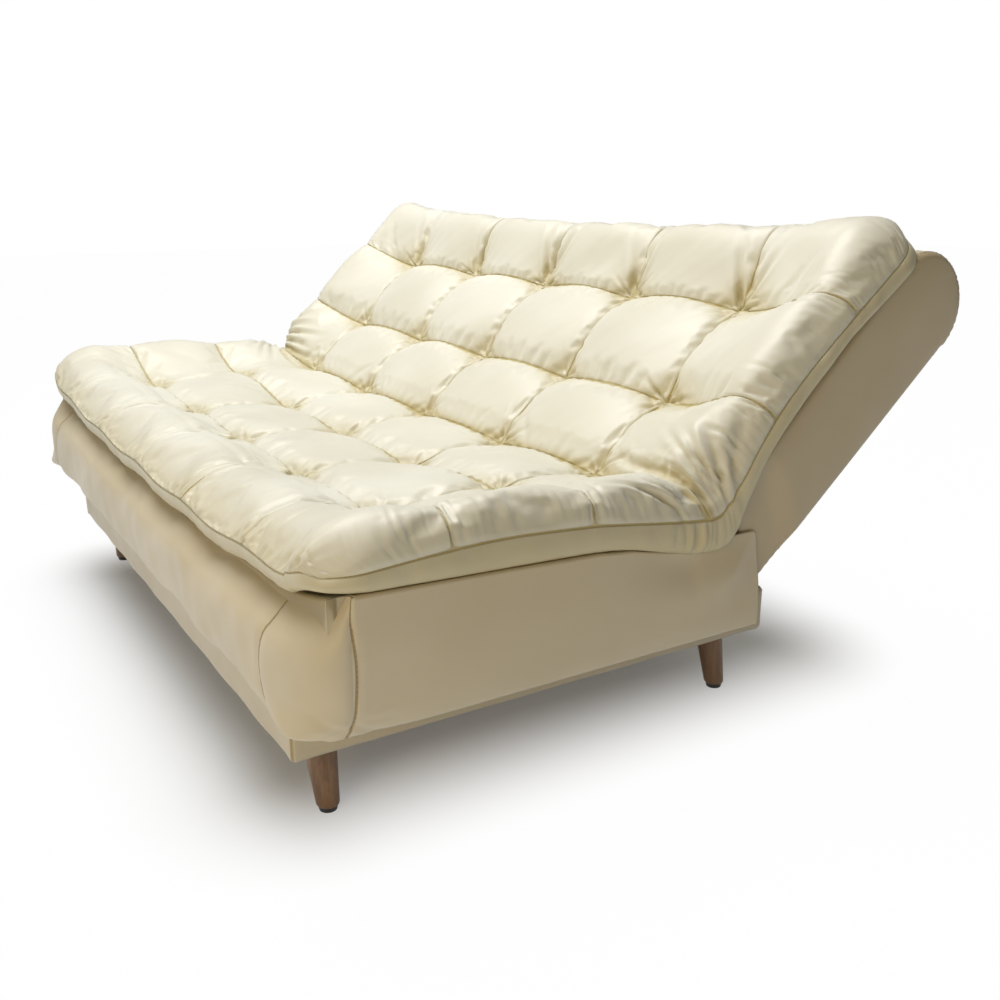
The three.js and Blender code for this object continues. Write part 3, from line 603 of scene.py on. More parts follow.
def sim_cloth(obj, pinned):
    """Inflates the sheet between its pinned seams and keeps every point within the cap of where it was."""
    scene = bpy.context.scene
    group = obj.vertex_groups.new(name="pin")
    group.add([int(k) for k in np.flatnonzero(pinned)], 1.0, "REPLACE")
    cloth = obj.modifiers.new("cloth", "CLOTH")
    for key, value in CLOTH.items():
        setattr(cloth.settings, key, value)
    cloth.settings.effector_weights.gravity = 0
    cloth.collision_settings.use_collision = False
    cloth.point_cache.frame_start = 1
    cloth.point_cache.frame_end = SWELL_FRAMES
    before = np.array([v.co for v in obj.data.vertices], float)
    for step in range(1, SWELL_FRAMES + 1):
        scene.frame_set(step)
    evaluated = obj.evaluated_get(bpy.context.evaluated_depsgraph_get())
    move = np.array([v.co for v in evaluated.data.vertices], float) - before
    obj.modifiers.remove(cloth)
    scene.frame_set(1)
    size = np.linalg.norm(move, axis=1)
    scale = np.where(size > SWELL_CAP, SWELL_CAP / np.maximum(size, 1e-9), 1.0)
    return before + move * scale[:, None]


def refine(values, axis):
    """Doubles a grid along one axis through its own points, with a smooth curve between them."""
    v = np.moveaxis(values, axis, 0)
    middle = (v[:-1] + v[1:]) / 2
    second = np.zeros_like(v)
    second[1:-1] = v[2:] - 2 * v[1:-1] + v[:-2]
    middle = middle - (second[:-1] + second[1:]) / 16 * 0.85
    out = np.empty((2 * len(v) - 1, *v.shape[1:]))
    out[0::2] = v
    out[1::2] = middle
    return np.moveaxis(out, 0, axis)


def refine_line(v):
    """The same for places along one axis, halfway between them."""
    out = np.empty(2 * len(v) - 1)
    out[0::2] = v
    out[1::2] = (v[:-1] + v[1:]) / 2
    return out


def grid_normals(points):
    """The way out of a grid's surface at each of its points."""
    du = np.gradient(points, axis=1)
    dv = np.gradient(points, axis=0)
    return unit(np.cross(du, dv), 1e-12)


def strokes_field(px, ps, strokes):
    """Sum of narrow folds on a sheet. A stroke is (x, s, angle, length, width, depth, bend)."""
    total = np.zeros(np.broadcast(px, ps).shape)
    xs, ss = px[0], ps[:, 0]
    for x0, s0, angle, size, width, deep, bend in strokes:
        reach = size + 3 * width
        ix = np.flatnonzero(np.abs(xs - x0) < reach)
        js = np.flatnonzero(np.abs(ss - s0) < reach)
        if len(ix) == 0 or len(js) == 0:
            continue
        dx = xs[None, ix] - x0
        ds = ss[js][:, None] - s0
        run = dx * math.cos(angle) + ds * math.sin(angle)
        off = -dx * math.sin(angle) + ds * math.cos(angle) - bend * run * run / max(size, 1e-6)
        t = run / size
        body = np.clip(t * 6, 0, 1) * np.clip(1 - t, 0, 1) ** 1.1
        wide = width * (0.45 + 0.75 * np.clip(t, 0, 1))
        shape = np.exp(-(off / wide) ** 2) - 0.45 * np.exp(-((np.abs(off) - 1.7 * wide) / (0.8 * wide)) ** 2)
        total[np.ix_(js, ix)] -= deep * shape * body
    return total


def stroke(rng, x, s, angle, *spans):
    """A pleat for strokes_field; its length, width, depth and bend are numbers or drawn from (least, most)."""
    return x, s, angle, *[rng.uniform(*span) if isinstance(span, tuple) else span for span in spans]


def pad_strokes(rows):
    """The pad's folds: about its tufts, along its front, top and ends, and in the crease's ends."""
    rng = np.random.default_rng(7)
    across = math.pi / 2
    strokes = []
    for s0 in rows[1:6]:
        for x0 in TUFTS:
            for quarter in (0, 0, 1, 1, 2, 3):
                angle = quarter * across + rng.uniform(0.22, 1.35)
                strokes.append(stroke(rng, x0, s0, angle, (0.045, 0.10), (0.004, 0.007), (0.003, 0.0065),
                                      (-0.25, 0.25)))
    for x0 in TUFTS:
        for lean in (-0.34, -0.14, 0.12, 0.30):
            angle = across + lean + rng.uniform(-0.06, 0.06)
            strokes.append(stroke(rng, x0, rows[5], angle, (0.16, 0.23), 0.011, (0.007, 0.012), (-0.2, 0.2)))
        for lean in (-0.35, 0.32):
            angle = -across + lean + rng.uniform(-0.1, 0.1)
            strokes.append(stroke(rng, x0, rows[1], angle, (0.12, 0.19), 0.009, (0.003, 0.006),
                                  (-0.25, 0.25)))
    x0 = -0.89
    while x0 < 0.89:
        strokes.append(stroke(rng, x0, rows[0] - 0.004, across + rng.uniform(-0.15, 0.15), (0.035, 0.11),
                              (0.0035, 0.0065), (0.0016, 0.0046), (-0.1, 0.1)))
        strokes.append(stroke(rng, x0, rows[6] + 0.004, -across + rng.uniform(-0.15, 0.15), (0.03, 0.08),
                              (0.003, 0.0055), (0.0006, 0.002), (-0.1, 0.1)))
        x0 += rng.uniform(0.011, 0.024)
    for side in (-1, 1):
        inward = math.pi if side > 0 else 0.0
        s0 = rows[0]
        while s0 < rows[6]:
            stronger = 1.6 if abs(s0 - rows[3]) < 0.12 else 1.0
            strokes.append(stroke(rng, side * 0.902, s0, inward + rng.uniform(-0.25, 0.25), (0.03, 0.095),
                                  (0.0035, 0.006), (0.0012 * stronger, 0.0040 * stronger), (-0.15, 0.15)))
            s0 += rng.uniform(0.010, 0.028)
        for lean in (-1.15, -0.82, -0.58, -0.40, -0.22, -0.06, 0.12, 0.30, 0.50, 0.75, 1.05):
            angle = inward + lean * side + rng.uniform(-0.05, 0.05)
            place = side * (0.912 - 0.01 * rng.uniform(0, 1)), rows[3] - lean * 0.028
            longer = 0.16 * bell(lean, 0, 0.45)
            strokes.append(stroke(rng, *place, angle, (0.10 + longer, 0.17 + longer), (0.007, 0.011),
                                  (0.008, 0.014), (-0.12, 0.12)))
    return strokes


def side_edges():
    """In the side view, from the front to the top: the ends' piping, their lower edge and the underside."""
    y = np.linspace(SEAT_START, 0.585, 60)
    seat = np.stack([y, under_seat(y)], -1)
    back = back_point(np.linspace(BACK_START, BACK_END, 60), np.full(60, BACK_UNDER))
    under = np.concatenate([seat, bezier(seat[-1], (0.655, 0.398), back[0], 24)[1:-1], back])
    piping = np.vstack([PIPING_LINE, back_point(BACK_END, 0.062)])
    lower = np.vstack([LOWER_LINE, back_point(BACK_END, 0.026)])
    return [round_line(piping), round_line(lower), under]


def make_pad():
    """The pad: its puffed grid, swollen by the cloth, folded, and shaped at its rims and corners."""
    base = pad_base()
    rows, x, s, grid = (base[key] for key in ("rows", "x", "s", "grid"))
    points = to_model(np.broadcast_to(x, grid.shape[:2]), grid)
    sheet = make_mesh("pad_sheet", points, grid_faces(*points.shape[:2]), pad_leather)
    pinned = np.minimum(base["wave_x"][None, :], base["wave_s"][:, None]) < 0.02
    pinned[0, :] = pinned[-1, :] = pinned[:, 0] = pinned[:, -1] = True
    points = sim_cloth(sheet, pinned.ravel()).reshape(points.shape)
    bpy.data.objects.remove(sheet)

    fine = refine(refine(points, 0), 1)
    px, ps = np.broadcast_arrays(refine_line(x)[None, :], refine_line(s)[:, None])
    from_rim = np.minimum(np.minimum(HALF - np.abs(px), ps - rows[0]), rows[6] - ps)
    rim_share = np.clip(from_rim / 0.012, 0, 1)
    folds = strokes_field(px, ps, pad_strokes(rows))
    soft = waves(3, (px, 0.21), (ps, 0.17)) * 0.0022 + waves(5, (px, 0.07), (ps, 0.06)) * 0.0004
    fine = fine + grid_normals(fine) * (folds * (0.35 + 0.65 * rim_share) + soft * rim_share)[..., None]

    # No pit or fold goes through the underside.
    piping, lower, under = [by_row(line, ps, rows) for line in side_edges()]
    inward = np.stack([np.interp(ps[:, 0], s, base["turn"][:, k]) for k in range(2)], -1)
    above = -np.einsum("ijk,ik->ij", fine[..., 1:] - np.array([FRONT, 0]) - under[:, None], inward)
    short = np.maximum(0, 0.006 - above) * ((ps > rows[1] * 0.8) & (ps < rows[5] + 0.05))
    fine[..., 1:] -= short[..., None] * inward[:, None]

    # The ends follow their own line, the front edge hangs down and the corners are rounded.
    near_side = smooth((np.abs(px) - 0.80) / 0.10) ** 2
    shift = piping - (fine[:, -1, 1:] - np.array([FRONT, 0]))
    fine[..., 1:] += shift[:, None, :] * near_side[..., None]
    place = fine[..., 0], fine[..., 1] - FRONT
    hang = droop(*place, 0.0175, 0.042) + settle(*place)
    fine = round_corners(fine)
    fine[..., 2] -= hang * (1 - near_side)
    close_pad(fine, px, ps, rows, lower, under, pad_looks(px, ps, rows, base["tint"], folds))


def round_corners(points):
    """Rounds the pad's four corners in plan, at the front and at the top."""
    x, y = round_plan(points[..., 0], points[..., 1] - FRONT, SEAT_START, None, RIM_ROUND)
    points = np.stack([x, y + FRONT, points[..., 2]], -1)
    u, v = to_back(points)
    x, u = round_plan(points[..., 0], u, None, BACK_END, 0.075)
    return to_model(x, back_point(u, 0 * u) + v[..., None] * OUT)


def by_row(line, ps, rows):
    """The points of an end's line that go with the grid's places along the pad."""
    length = lengths(line)
    marks = [*[(y, under_seat(y)) for y in SEAT_ROWS], (0.625, 0.425), back_point(0.262, 0.05),
             back_point(0.483, 0.05)]
    stops = [length[np.argmin(np.linalg.norm(line - mark, axis=1))] for mark in marks]
    return resample(line, at=np.interp(ps[:, 0], rows, [0.0, *stops, length[-1]]))


def to_back(points):
    """Back coordinates (u, v) of model points."""
    y = points[..., 1] - FRONT - HY
    z = points[..., 2] - HZ
    return y * UP[0] + z * UP[1], y * OUT[0] + z * OUT[1]


def pad_looks(px, ps, rows, tint, folds):
    """The values that the leather reads on the pad's top: seam, along and fold_shade, the painted shade."""
    seam_x = np.min(np.abs(px[..., None] - np.array(TUFTS)), axis=-1)
    seam_s = np.min(np.abs(ps[..., None] - rows[1:6]), axis=-1)
    seam = np.minimum(seam_x, seam_s)
    seam[0, :] = seam[-1, :] = seam[:, 0] = seam[:, -1] = 0.0013
    # Painted shade: the deep colour in the puffs' valleys and along the folds, more at the crease's ends.
    deep = np.clip(refine(refine(tint, 0), 1) / 0.7, 0, 1) ** 1.5 * 0.75
    crease_end_shade = smooth((np.abs(px) - 0.66) / 0.14) * bell(ps, rows[3], 0.13)
    deep = deep + np.clip(-folds / 0.006, 0, 1) * (0.2 + 0.45 * crease_end_shade)
    # More painted shade on the roll down to each end and on the front roll, and a painted shadow line along the
    # crease.
    deep = np.maximum(deep, 0.40 * smooth((np.abs(px) - 0.84) / 0.06))
    deep = np.maximum(deep, 0.62 * smooth(1 - (ps - rows[0]) / 0.095))
    deep = deep + 0.55 * bell(ps, rows[3], 0.010)
    return {"seam": seam, "along": np.where(seam_x < seam_s, ps, px), "fold_shade": deep}


def close_pad(top, px, ps, rows, lower, under, looks):
    """Closes the top with its boxed band and underside and makes the piece."""
    ny, nx = top.shape[:2]
    ring = [(0, i) for i in range(nx)] + [(j, nx - 1) for j in range(1, ny)]
    ring += [(ny - 1, i) for i in range(nx - 2, -1, -1)] + [(j, 0) for j in range(ny - 2, 0, -1)]
    rj, ri = np.array(ring).T
    edge = top[rj, ri]
    x = px[0][ri]
    sag = (np.interp(ps[rj, 0], rows, SAG) * sag_share(x) * (rj == ny - 1))[:, None]
    down = sag * -(UP + OUT) / math.sqrt(2)
    front_share = (rj == 0) * smooth((HALF - np.abs(x)) / 0.08)
    low = round_corners(to_model(x, lower[rj] + down + front_share[:, None] * np.array([0.012, 0])))
    low[:, 2] -= droop(x, low[:, 1] - FRONT, 0.004, 0.056) * smooth((HALF - np.abs(x)) / 0.1)
    tuck = under[rj] + down
    tuck[:, 0] = np.maximum(tuck[:, 0], SEAT_START + 0.045)
    beyond = np.maximum(0, (tuck - np.array([HY, HZ])) @ UP - (BACK_END - 0.060))
    tuck = to_model(x * (HALF - 0.034) / HALF, tuck - beyond[:, None] * UP)

    # The way out of the band, evened along it, and the ruffles that gather at the crease
    outward = unit(np.cross(np.roll(edge, -1, 0) - np.roll(edge, 1, 0), edge - low), 1e-9)
    wrapped = np.concatenate([outward[-4:], outward, outward[:4]])
    outward = unit(np.stack([np.convolve(wrapped[:, c], np.ones(9) / 9, "valid") for c in range(3)], -1))
    distance = lengths(edge)
    ruffle = waves(11, (distance, 0.05)) * 0.0012 + waves(12, (distance, 0.16)) * 0.002
    crease_near = bell(ps[rj, 0], rows[3], 0.05) * (np.abs(x) > 0.89)
    squeeze = crease_near * (waves(13, (distance, 0.030)) * 0.009 + waves(14, (distance, 0.012)) * 0.003)

    # Each step down the band, as a share of its height: how far it bulges and how much painted shade it gets,
    # darker towards its lower edge
    steps = [(0.03, -0.0012, 0.5), (0.07, 0.0004, 0.6), (0.16, 0.0022, 0.66), (0.32, 0.0040, 0.72),
             (0.5, 0.0048, 0.78), (0.68, 0.0042, 0.84), (0.84, 0.0018, 0.92), (0.94, -0.0018, 1),
             (1.0, -0.0070, 1)]
    rings, band_seam, band_shade = [], [], []
    for t, bulge, fold_shade in steps:
        offset = bulge + (ruffle + squeeze) * math.sin(math.pi * t)
        rings.append(edge + (low - edge) * t + outward * offset[:, None])
        band_seam.append(abs(t - 0.03) * 0.045)
        band_shade.append(fold_shade)
    # The underside rings get full painted shade.
    rings += [(low + tuck) / 2 - outward * 0.006, tuck]
    band_seam += [0.06, 0.08]
    band_shade += [1, 1]

    count, start = len(ring), ny * nx
    at_rim = rj * nx + ri
    faces = grid_faces(ny, nx)
    for k in range(count):
        n = (k + 1) % count
        faces.append((at_rim[n], at_rim[k], start + k, start + n))
    faces += grid_faces(len(rings), count, start, wrap=True, flip=True)
    last = start + (len(rings) - 1) * count
    right = {j: last + k for k, (j, i) in enumerate(ring) if i == nx - 1}
    left = {j: last + k for k, (j, i) in enumerate(ring) if i == 0}
    for j in range(ny - 1):
        faces.append((left[j], left[j + 1], right[j + 1], right[j]))
    faces.append([last + k for k in range(nx)])
    faces.append([last + nx - 1 + ny - 1 + k for k in range(nx)])
    band = {"seam": np.repeat(band_seam, count), "along": np.tile(distance, len(rings)),
            "fold_shade": np.repeat(band_shade, count)}
    pad = make_mesh("tufted_pad", np.concatenate([top.reshape(-1, 3), *rings]), faces, pad_leather,
                    values={key: np.concatenate([looks[key].ravel(), band[key]]) for key in band})
    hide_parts("seat_pad", "back_pad")
    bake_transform(pad)


make_pad()

# Covers of the seat box, back box and plinth


def loft(loops, ring=False):
    """Faces through closed loops of equal count, joined end to end as a ring or closed with end faces."""
    count, size = len(loops), len(loops[0])
    faces = []
    for a in range(count if ring else count - 1):
        b = (a + 1) % count
        for k in range(size):
            n = (k + 1) % size
            faces.append((a * size + k, b * size + k, b * size + n, a * size + n))
    if not ring:
        faces.append(list(range(size)))
        faces.append([(count - 1) * size + k for k in range(size)][::-1])
    return faces


# The seat box's ends: how far the D shaped corners reach along the front and the side, the ends' lower
# edge and inner face, and their round tail about the hinge
D_WIDE = 0.160
D_SIDE = 0.030
CHEEK_LOW = 0.240
CHEEK_IN = 0.8823
TAIL_RADIUS = 0.130
TAIL_TOP = 0.400
CHEEK_END = HY + TAIL_RADIUS
FRONT_IN = 0.0008
COVER_ROWS = 46
COVER_RISE = 0.17


def cheek_top(y):
    """The upper edge of the seat box's end: under the pad, low over the hinge and round its tail."""
    seat = np.interp(y, *np.transpose(LOWER_LINE)) - 0.001
    tail = np.minimum(TAIL_TOP, HZ + np.sqrt(np.maximum(0, TAIL_RADIUS ** 2 - (y - HY) ** 2)))
    share = smooth((y - 0.60) / 0.03)
    return float(seat * (1 - share) + tail * share)


def nose_profile(x):
    """The soft front in the side view, from its bottom edge up to where the pad covers it."""
    high = 0.030 * abs(x / HALF) ** 3
    points = [(0.004, 0.2362), (-0.030, 0.2358), (-0.048, 0.256), (-0.0515, 0.298),
              (-0.044, 0.338 + high * 0.7), (-0.022, 0.357 + high), (0.004, 0.376 + high),
              (0.03, 0.384 + high)]
    return resample(round_line(points, after=(0.06, points[-1][1])), COVER_ROWS)


def cheek_column(y, q):
    """A column of the seat cover's side at y, from its lower edge up, and its place on the inner face."""
    top = cheek_top(y)
    z = CHEEK_LOW + (top - CHEEK_LOW) * q
    x = HALF + 0.004 * np.sin(math.pi * q) * (1 - smooth((y - 0.35) / 0.2))
    near_corner = 1 - smooth((y - D_SIDE) / 0.12)
    low = np.clip(1 - (z - CHEEK_LOW) / (0.03 + 0.015 * near_corner), 0, 1) ** 2
    x -= (0.004 + 0.008 * near_corner) * low
    from_rim = np.maximum(TAIL_RADIUS - np.hypot(y - HY, z - HZ), 0) if y > HY else 1
    from_rim = np.minimum(np.maximum(top - z, 0), from_rim)
    hollow = smooth((y - 0.42) / 0.21) * smooth((z - 0.245) / 0.13)
    x -= 0.0155 * (1 - smooth(from_rim / 0.085)) * hollow
    return np.stack([x, np.full(len(q), y), z], -1), (CHEEK_IN, y)


def corner_column(turn, q):
    """The same round the D shaped corner, from the side at 0 to the front at a right angle."""
    profile = nose_profile(HALF - D_WIDE)
    side_z = CHEEK_LOW + (cheek_top(D_SIDE) - CHEEK_LOW) * q
    z = side_z + (profile[:, 1] - side_z) * math.sin(turn) ** (0.8 + 3.2 * q * q)
    low = np.clip(1 - (z - CHEEK_LOW) / 0.045, 0, 1) ** 2
    square = 1 - 0.45 * low
    x = HALF - D_WIDE + (D_WIDE - 0.012 * low) * math.cos(turn) ** square
    y = D_SIDE - (D_SIDE - profile[:, 0]) * math.sin(turn) ** square - 0.022 * low * math.sin(2 * turn)
    bulge = 0.007 * math.sin(2 * turn) * np.sin(math.pi * q)
    column = np.stack([x + bulge * math.cos(turn), y - bulge * math.sin(turn), z], -1)
    share = turn / (math.pi / 2)
    return column, (CHEEK_IN + (HALF - D_WIDE - CHEEK_IN) * smooth((share - 0.35) / 0.65),
                    FRONT_IN + D_SIDE * (1 - smooth(share / 0.35)))


def front_column(x, q):
    """The same along the soft front."""
    profile = nose_profile(x)
    return np.stack([np.full(len(q), x), profile[:, 0], profile[:, 1]], -1), (x, FRONT_IN)


def cover_columns(q):
    """Columns of the seat cover from one tail over the front to the other, the inner face and their kinds."""
    spans = ((cheek_column, (CHEEK_END, CHEEK_END - 0.02, 9), (CHEEK_END - 0.02, 0.56, 34), (0.56, 0.13, 44),
              (0.13, D_SIDE, 30)),
             (corner_column, (0, math.pi / 2, 44)),
             (front_column, (HALF - D_WIDE, 0.66, 14), (0.66, 0, 70)))
    columns = []
    for make, *stretches in spans:
        for start, end, count in stretches:
            skip = 0 if start == CHEEK_END else 1
            columns += [(make, *make(value, q)) for value in np.linspace(start, end, count)[skip:]]
    kinds, outer, inner = zip(*columns, *columns[-2::-1])
    sign = np.where(np.arange(len(outer)) < len(columns), 1, -1)
    outer = np.stack(outer) * np.stack([sign, sign ** 2, sign ** 2], -1)[:, None]
    return outer, np.array(inner) * np.stack([sign, sign ** 2], -1), kinds


def seam_strokes(seam_lines, up):
    """Small puckers along the seams of the D shaped corners, stronger high on the side."""
    rng = np.random.default_rng(31)
    strokes = []
    for index, line in enumerate(seam_lines):
        on_side = index in (0, 3)
        for level in np.arange(0.012, 0.165, 0.0085):
            deeper = 1.0 if level > 0.10 and on_side else 0.28
            for way in (0, math.pi):
                place = np.interp(level, up, line), level + rng.uniform(-0.002, 0.002)
                strokes.append(stroke(rng, *place, way + rng.uniform(-0.2, 0.2), (0.018, 0.034), 0.0028,
                                      (0.0010 * deeper, 0.0024 * deeper), 0.0))
        if on_side:
            for way, sign in ((0, 1), (math.pi, -1)):
                for tilt in (-0.3, 0.1, 0.45):
                    strokes.append((line[0], 0.016, way + tilt * sign, 0.07, 0.006, 0.003, 0.1))
    return strokes


def make_seat_cover():
    """The seat box's cover: cheeks at both ends, round corners and the soft front between them."""
    q = np.linspace(0, 1, COVER_ROWS)
    up = q * COVER_RISE
    outer, inner, kinds = cover_columns(q)
    middle_row = outer[:, COVER_ROWS // 2]
    run = lengths(middle_row)

    # The D's seams: distance is below 0 inside them.
    seams = [k for k in range(1, len(outer)) if kinds[k] != kinds[k - 1]]
    side_shift = 0.024 * np.clip(2 * q - 1, 0, 1) ** 2 + 0.010 * np.clip(1 - 2 * q, 0, 1) ** 2
    front_shift = 0.010 + 0.024 * np.clip(1 - q / 0.55, 0, 1) ** 1.5 - 0.008 * smooth((q - 0.7) / 0.3)
    shifts = (side_shift, -front_shift, front_shift, -side_shift)
    seam_lines = np.array([run[k - 1] + shift for k, shift in zip(seams, shifts)])
    distance = np.min(np.abs(run[:, None, None] - seam_lines.T[None]), axis=2)
    for first, second in ((0, 1), (2, 3)):
        inside = (run[:, None] > seam_lines[first]) & (run[:, None] < seam_lines[second])
        distance = np.where(inside, -distance, distance)

    normals = grid_normals(outer)
    if normals[len(outer) // 2, COVER_ROWS // 2, 1] > 0:
        normals = -normals
    frontness = np.clip(-(outer[..., 1] - 0.05) / 0.06, 0, 1)
    wave = waves(21, (run[:, None], 0.34), (up[None, :], 0.30)) * 0.0060 * frontness
    wave = wave + waves(22, (run[:, None], 0.11), (up[None, :], 0.09)) * 0.0015 * frontness
    wave = wave + waves(23, (run[:, None], 0.34), (up[None, :], 0.22)) * 0.0026
    pull = -0.0034 * bell(distance, 0, 0.009) * np.sin(math.pi * np.clip(q * 1.05, 0, 1)) ** 0.4
    px, ps = np.broadcast_arrays(run[None, :], up[:, None])
    folds = strokes_field(px, ps, seam_strokes(seam_lines, up)).T
    outer = outer + normals * ((wave + pull) * np.sin(math.pi * np.clip(q * 1.6, 0, 0.5)) + folds)[..., None]
    lift = waves(25, (run, 0.36)) * 0.004 * np.where([kind is front_column for kind in kinds], 1.0, 0.3)
    outer[..., 2] += (lift[:, None] * np.clip(1 - q * 2.2, 0, 1)) * frontness[:, :1]

    top, low = outer[:, -1:, 2] - 0.001, outer[:, :1, 2] + 0.0006
    rims = np.stack([np.concatenate([inner, z], -1) for z in (top, low)], 1)
    loops = np.concatenate([outer, rims], 1) + np.array([0, FRONT, 0])
    two = np.ones((len(outer), 2))
    # Painted shade in the puckers and in a narrow band along the D's seams.
    fold_shade = np.clip(-folds / 0.003, 0, 1) * 0.3 + 0.35 * bell(distance, 0, 0.004)
    values = {"seam": np.hstack([distance, two]), "along": np.hstack([np.tile(up, (len(outer), 1)), 0 * two]),
              "fold_shade": np.hstack([fold_shade, 0 * two])}
    cover = make_mesh("seat_box_cover", loops, loft(loops), shaded_box_leather, "base", values=values)
    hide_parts("seat_front_roll", "seat_side_panel_left", "seat_side_panel_right")


def make_foam():
    """The seat's foam: its side view outline across the width, with rounded ends and a slight belly."""
    half, low, belly, radius = 0.836, 0.3130, 0.004, 0.012
    y = np.linspace(0.563, 0.004, 40)
    top = np.stack([y, np.minimum(under_seat(y) - 0.003, 0.384 + 0.25 * y)], -1)
    outline = np.concatenate([[(0.004, low), (0.563, low)], top])
    line = resample(np.vstack([outline, outline[:1]]), 161)[:-1]
    away = unit(line - line.mean(axis=0))
    rounding = ((0, 1), (0.15, 0.72), (0.4, 0.4), (0.7, 0.12), (1, 0))
    ends = [(half - radius * t, inset * radius) for t, inset in rounding]
    places = [(-x, inset) for x, inset in ends]
    places += [(x, 0) for x in np.linspace(-half + radius * 2, half - radius * 2, 60)] + ends[::-1]
    loops = []
    for x, inset in places:
        puff = belly * math.cos(x / half * math.pi / 2) if inset == 0 else 0
        loops.append(to_model(x, line - away * (inset + puff)))
    foam = plain("foam_felt", (0.78, 0.74, 0.62), 0.95, 260)
    block = make_mesh("seat_foam_block", loops, loft(loops), foam, "base")
    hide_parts("seat_foam")


ROLL_MIDDLE = -0.054
ROLL_RADIUS = 0.094
BACK_FRAME_END = 0.705 - ROLL_RADIUS


def roll_arc(count, inset):
    """The rounded top of the back box in back coordinates, from its front over to its rear."""
    angle = np.linspace(math.pi / 2, -math.pi / 2 - 0.04, count)
    return np.stack([BACK_FRAME_END + ROLL_RADIUS * np.cos(angle),
                     ROLL_MIDDLE + (ROLL_RADIUS - inset) * np.sin(angle)], -1)


def rear_line(start, end, count):
    """The rear of the back box, which tapers towards its heel."""
    u = np.linspace(start, end, count)
    return np.stack([u, -0.125 - 0.023 * (u - 0.05) / 0.655], -1)


def back_outline():
    """The back box's end in back coordinates, from its heel round the top and down the rear, closed."""
    front = np.stack([np.linspace(0.100, BACK_FRAME_END, 70)[:-1], np.full(69, 0.0394)], -1)
    rear = rear_line(BACK_FRAME_END - 0.004, 0.054, 70)
    heel_angle = np.radians(np.linspace(-60, 22, 26))
    heel = 0.104 * np.stack([np.cos(heel_angle), np.sin(heel_angle)], -1)
    return np.concatenate([front, roll_arc(60, 0.0004), rear, heel[:-1]])


def plate_faces(rows, columns):
    """Faces of a closed plate made of two grids of points, the second lying behind the first."""
    half = rows * columns
    faces = grid_faces(rows, columns) + grid_faces(rows, columns, half, flip=True)
    rim = [k for k in range(columns)] + [r * columns + columns - 1 for r in range(1, rows)]
    rim += [(rows - 1) * columns + k for k in range(columns - 2, -1, -1)]
    rim += [r * columns for r in range(rows - 2, 0, -1)]
    for k, a in enumerate(rim):
        b = rim[(k + 1) % len(rim)]
        faces.append((a, b, b + half, a + half))
    return faces


def make_back_side(side):
    """The upholstered end of the back box: a shallow cushion inside its sewn edge."""
    outline = back_outline()
    tip = int(np.argmax(outline[:, 0]))
    heel = int(np.argmin(outline[:, 0] + 10 * (outline[:, 1] < -0.1)))
    rows, columns = 150, 41
    front_side = resample(np.concatenate([outline[tip::-1], outline[:heel - 1:-1]]), rows + 1)[1:]
    rear_side = resample(outline[tip:heel + 1], rows + 1)[1:]
    share = (1 - np.cos(np.linspace(0, math.pi, columns))) / 2
    place = front_side[:, None] + (rear_side - front_side)[:, None] * share[None, :, None]
    closed = resample(np.vstack([outline, outline[:1]]), 721)
    run = np.linspace(0, 1, 721) * lengths(closed)[-1]
    gap = np.linalg.norm(place[:, :, None] - closed[None, None], axis=-1)
    distance = gap.min(axis=-1)
    nearest = run[gap.argmin(axis=-1)]
    u, v = place[..., 0], place[..., 1]
    roundness = smooth((u - 0.56) / 0.05)
    swing = smooth((np.hypot(u, v) - 0.165) / 0.06)
    edge = edge_height(distance, 0.011)
    soft = edge_height(distance, 0.07)
    x = 0.8762 + 0.0040 * edge + swing * (0.0070 * edge + 0.0060 * soft)
    gather = np.sin(nearest / 0.0085 * 6.28 + waves(41, (nearest, 0.05)) * 2) * np.exp(-distance / 0.016)
    x = x + 0.0013 * gather * roundness * swing * np.clip(distance / 0.002, 0, 1)
    x = x + waves(43, (u, 0.30), (v, 0.20)) * 0.0012 * soft * swing
    faces_of_plate = np.stack([to_model(side * level, back_point(u, v)) for level in (x, 0.8729)])
    flat = np.zeros(distance.size)
    # Painted shade over the whole end panel, deeper along its sewn edge.
    values = {"seam": np.concatenate([distance.ravel() + 0.002, flat + 1]),
              "along": np.concatenate([nearest.ravel(), flat]),
              "fold_shade": np.concatenate([0.58 + 0.3 * np.exp(-distance.ravel() / 0.004), flat])}
    name = "right" if side > 0 else "left"
    panel = make_mesh(f"back_end_{name}", faces_of_plate, plate_faces(rows, columns), shaded_box_leather, "back",
                      values=values)
    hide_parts(f"back_side_panel_{name}")


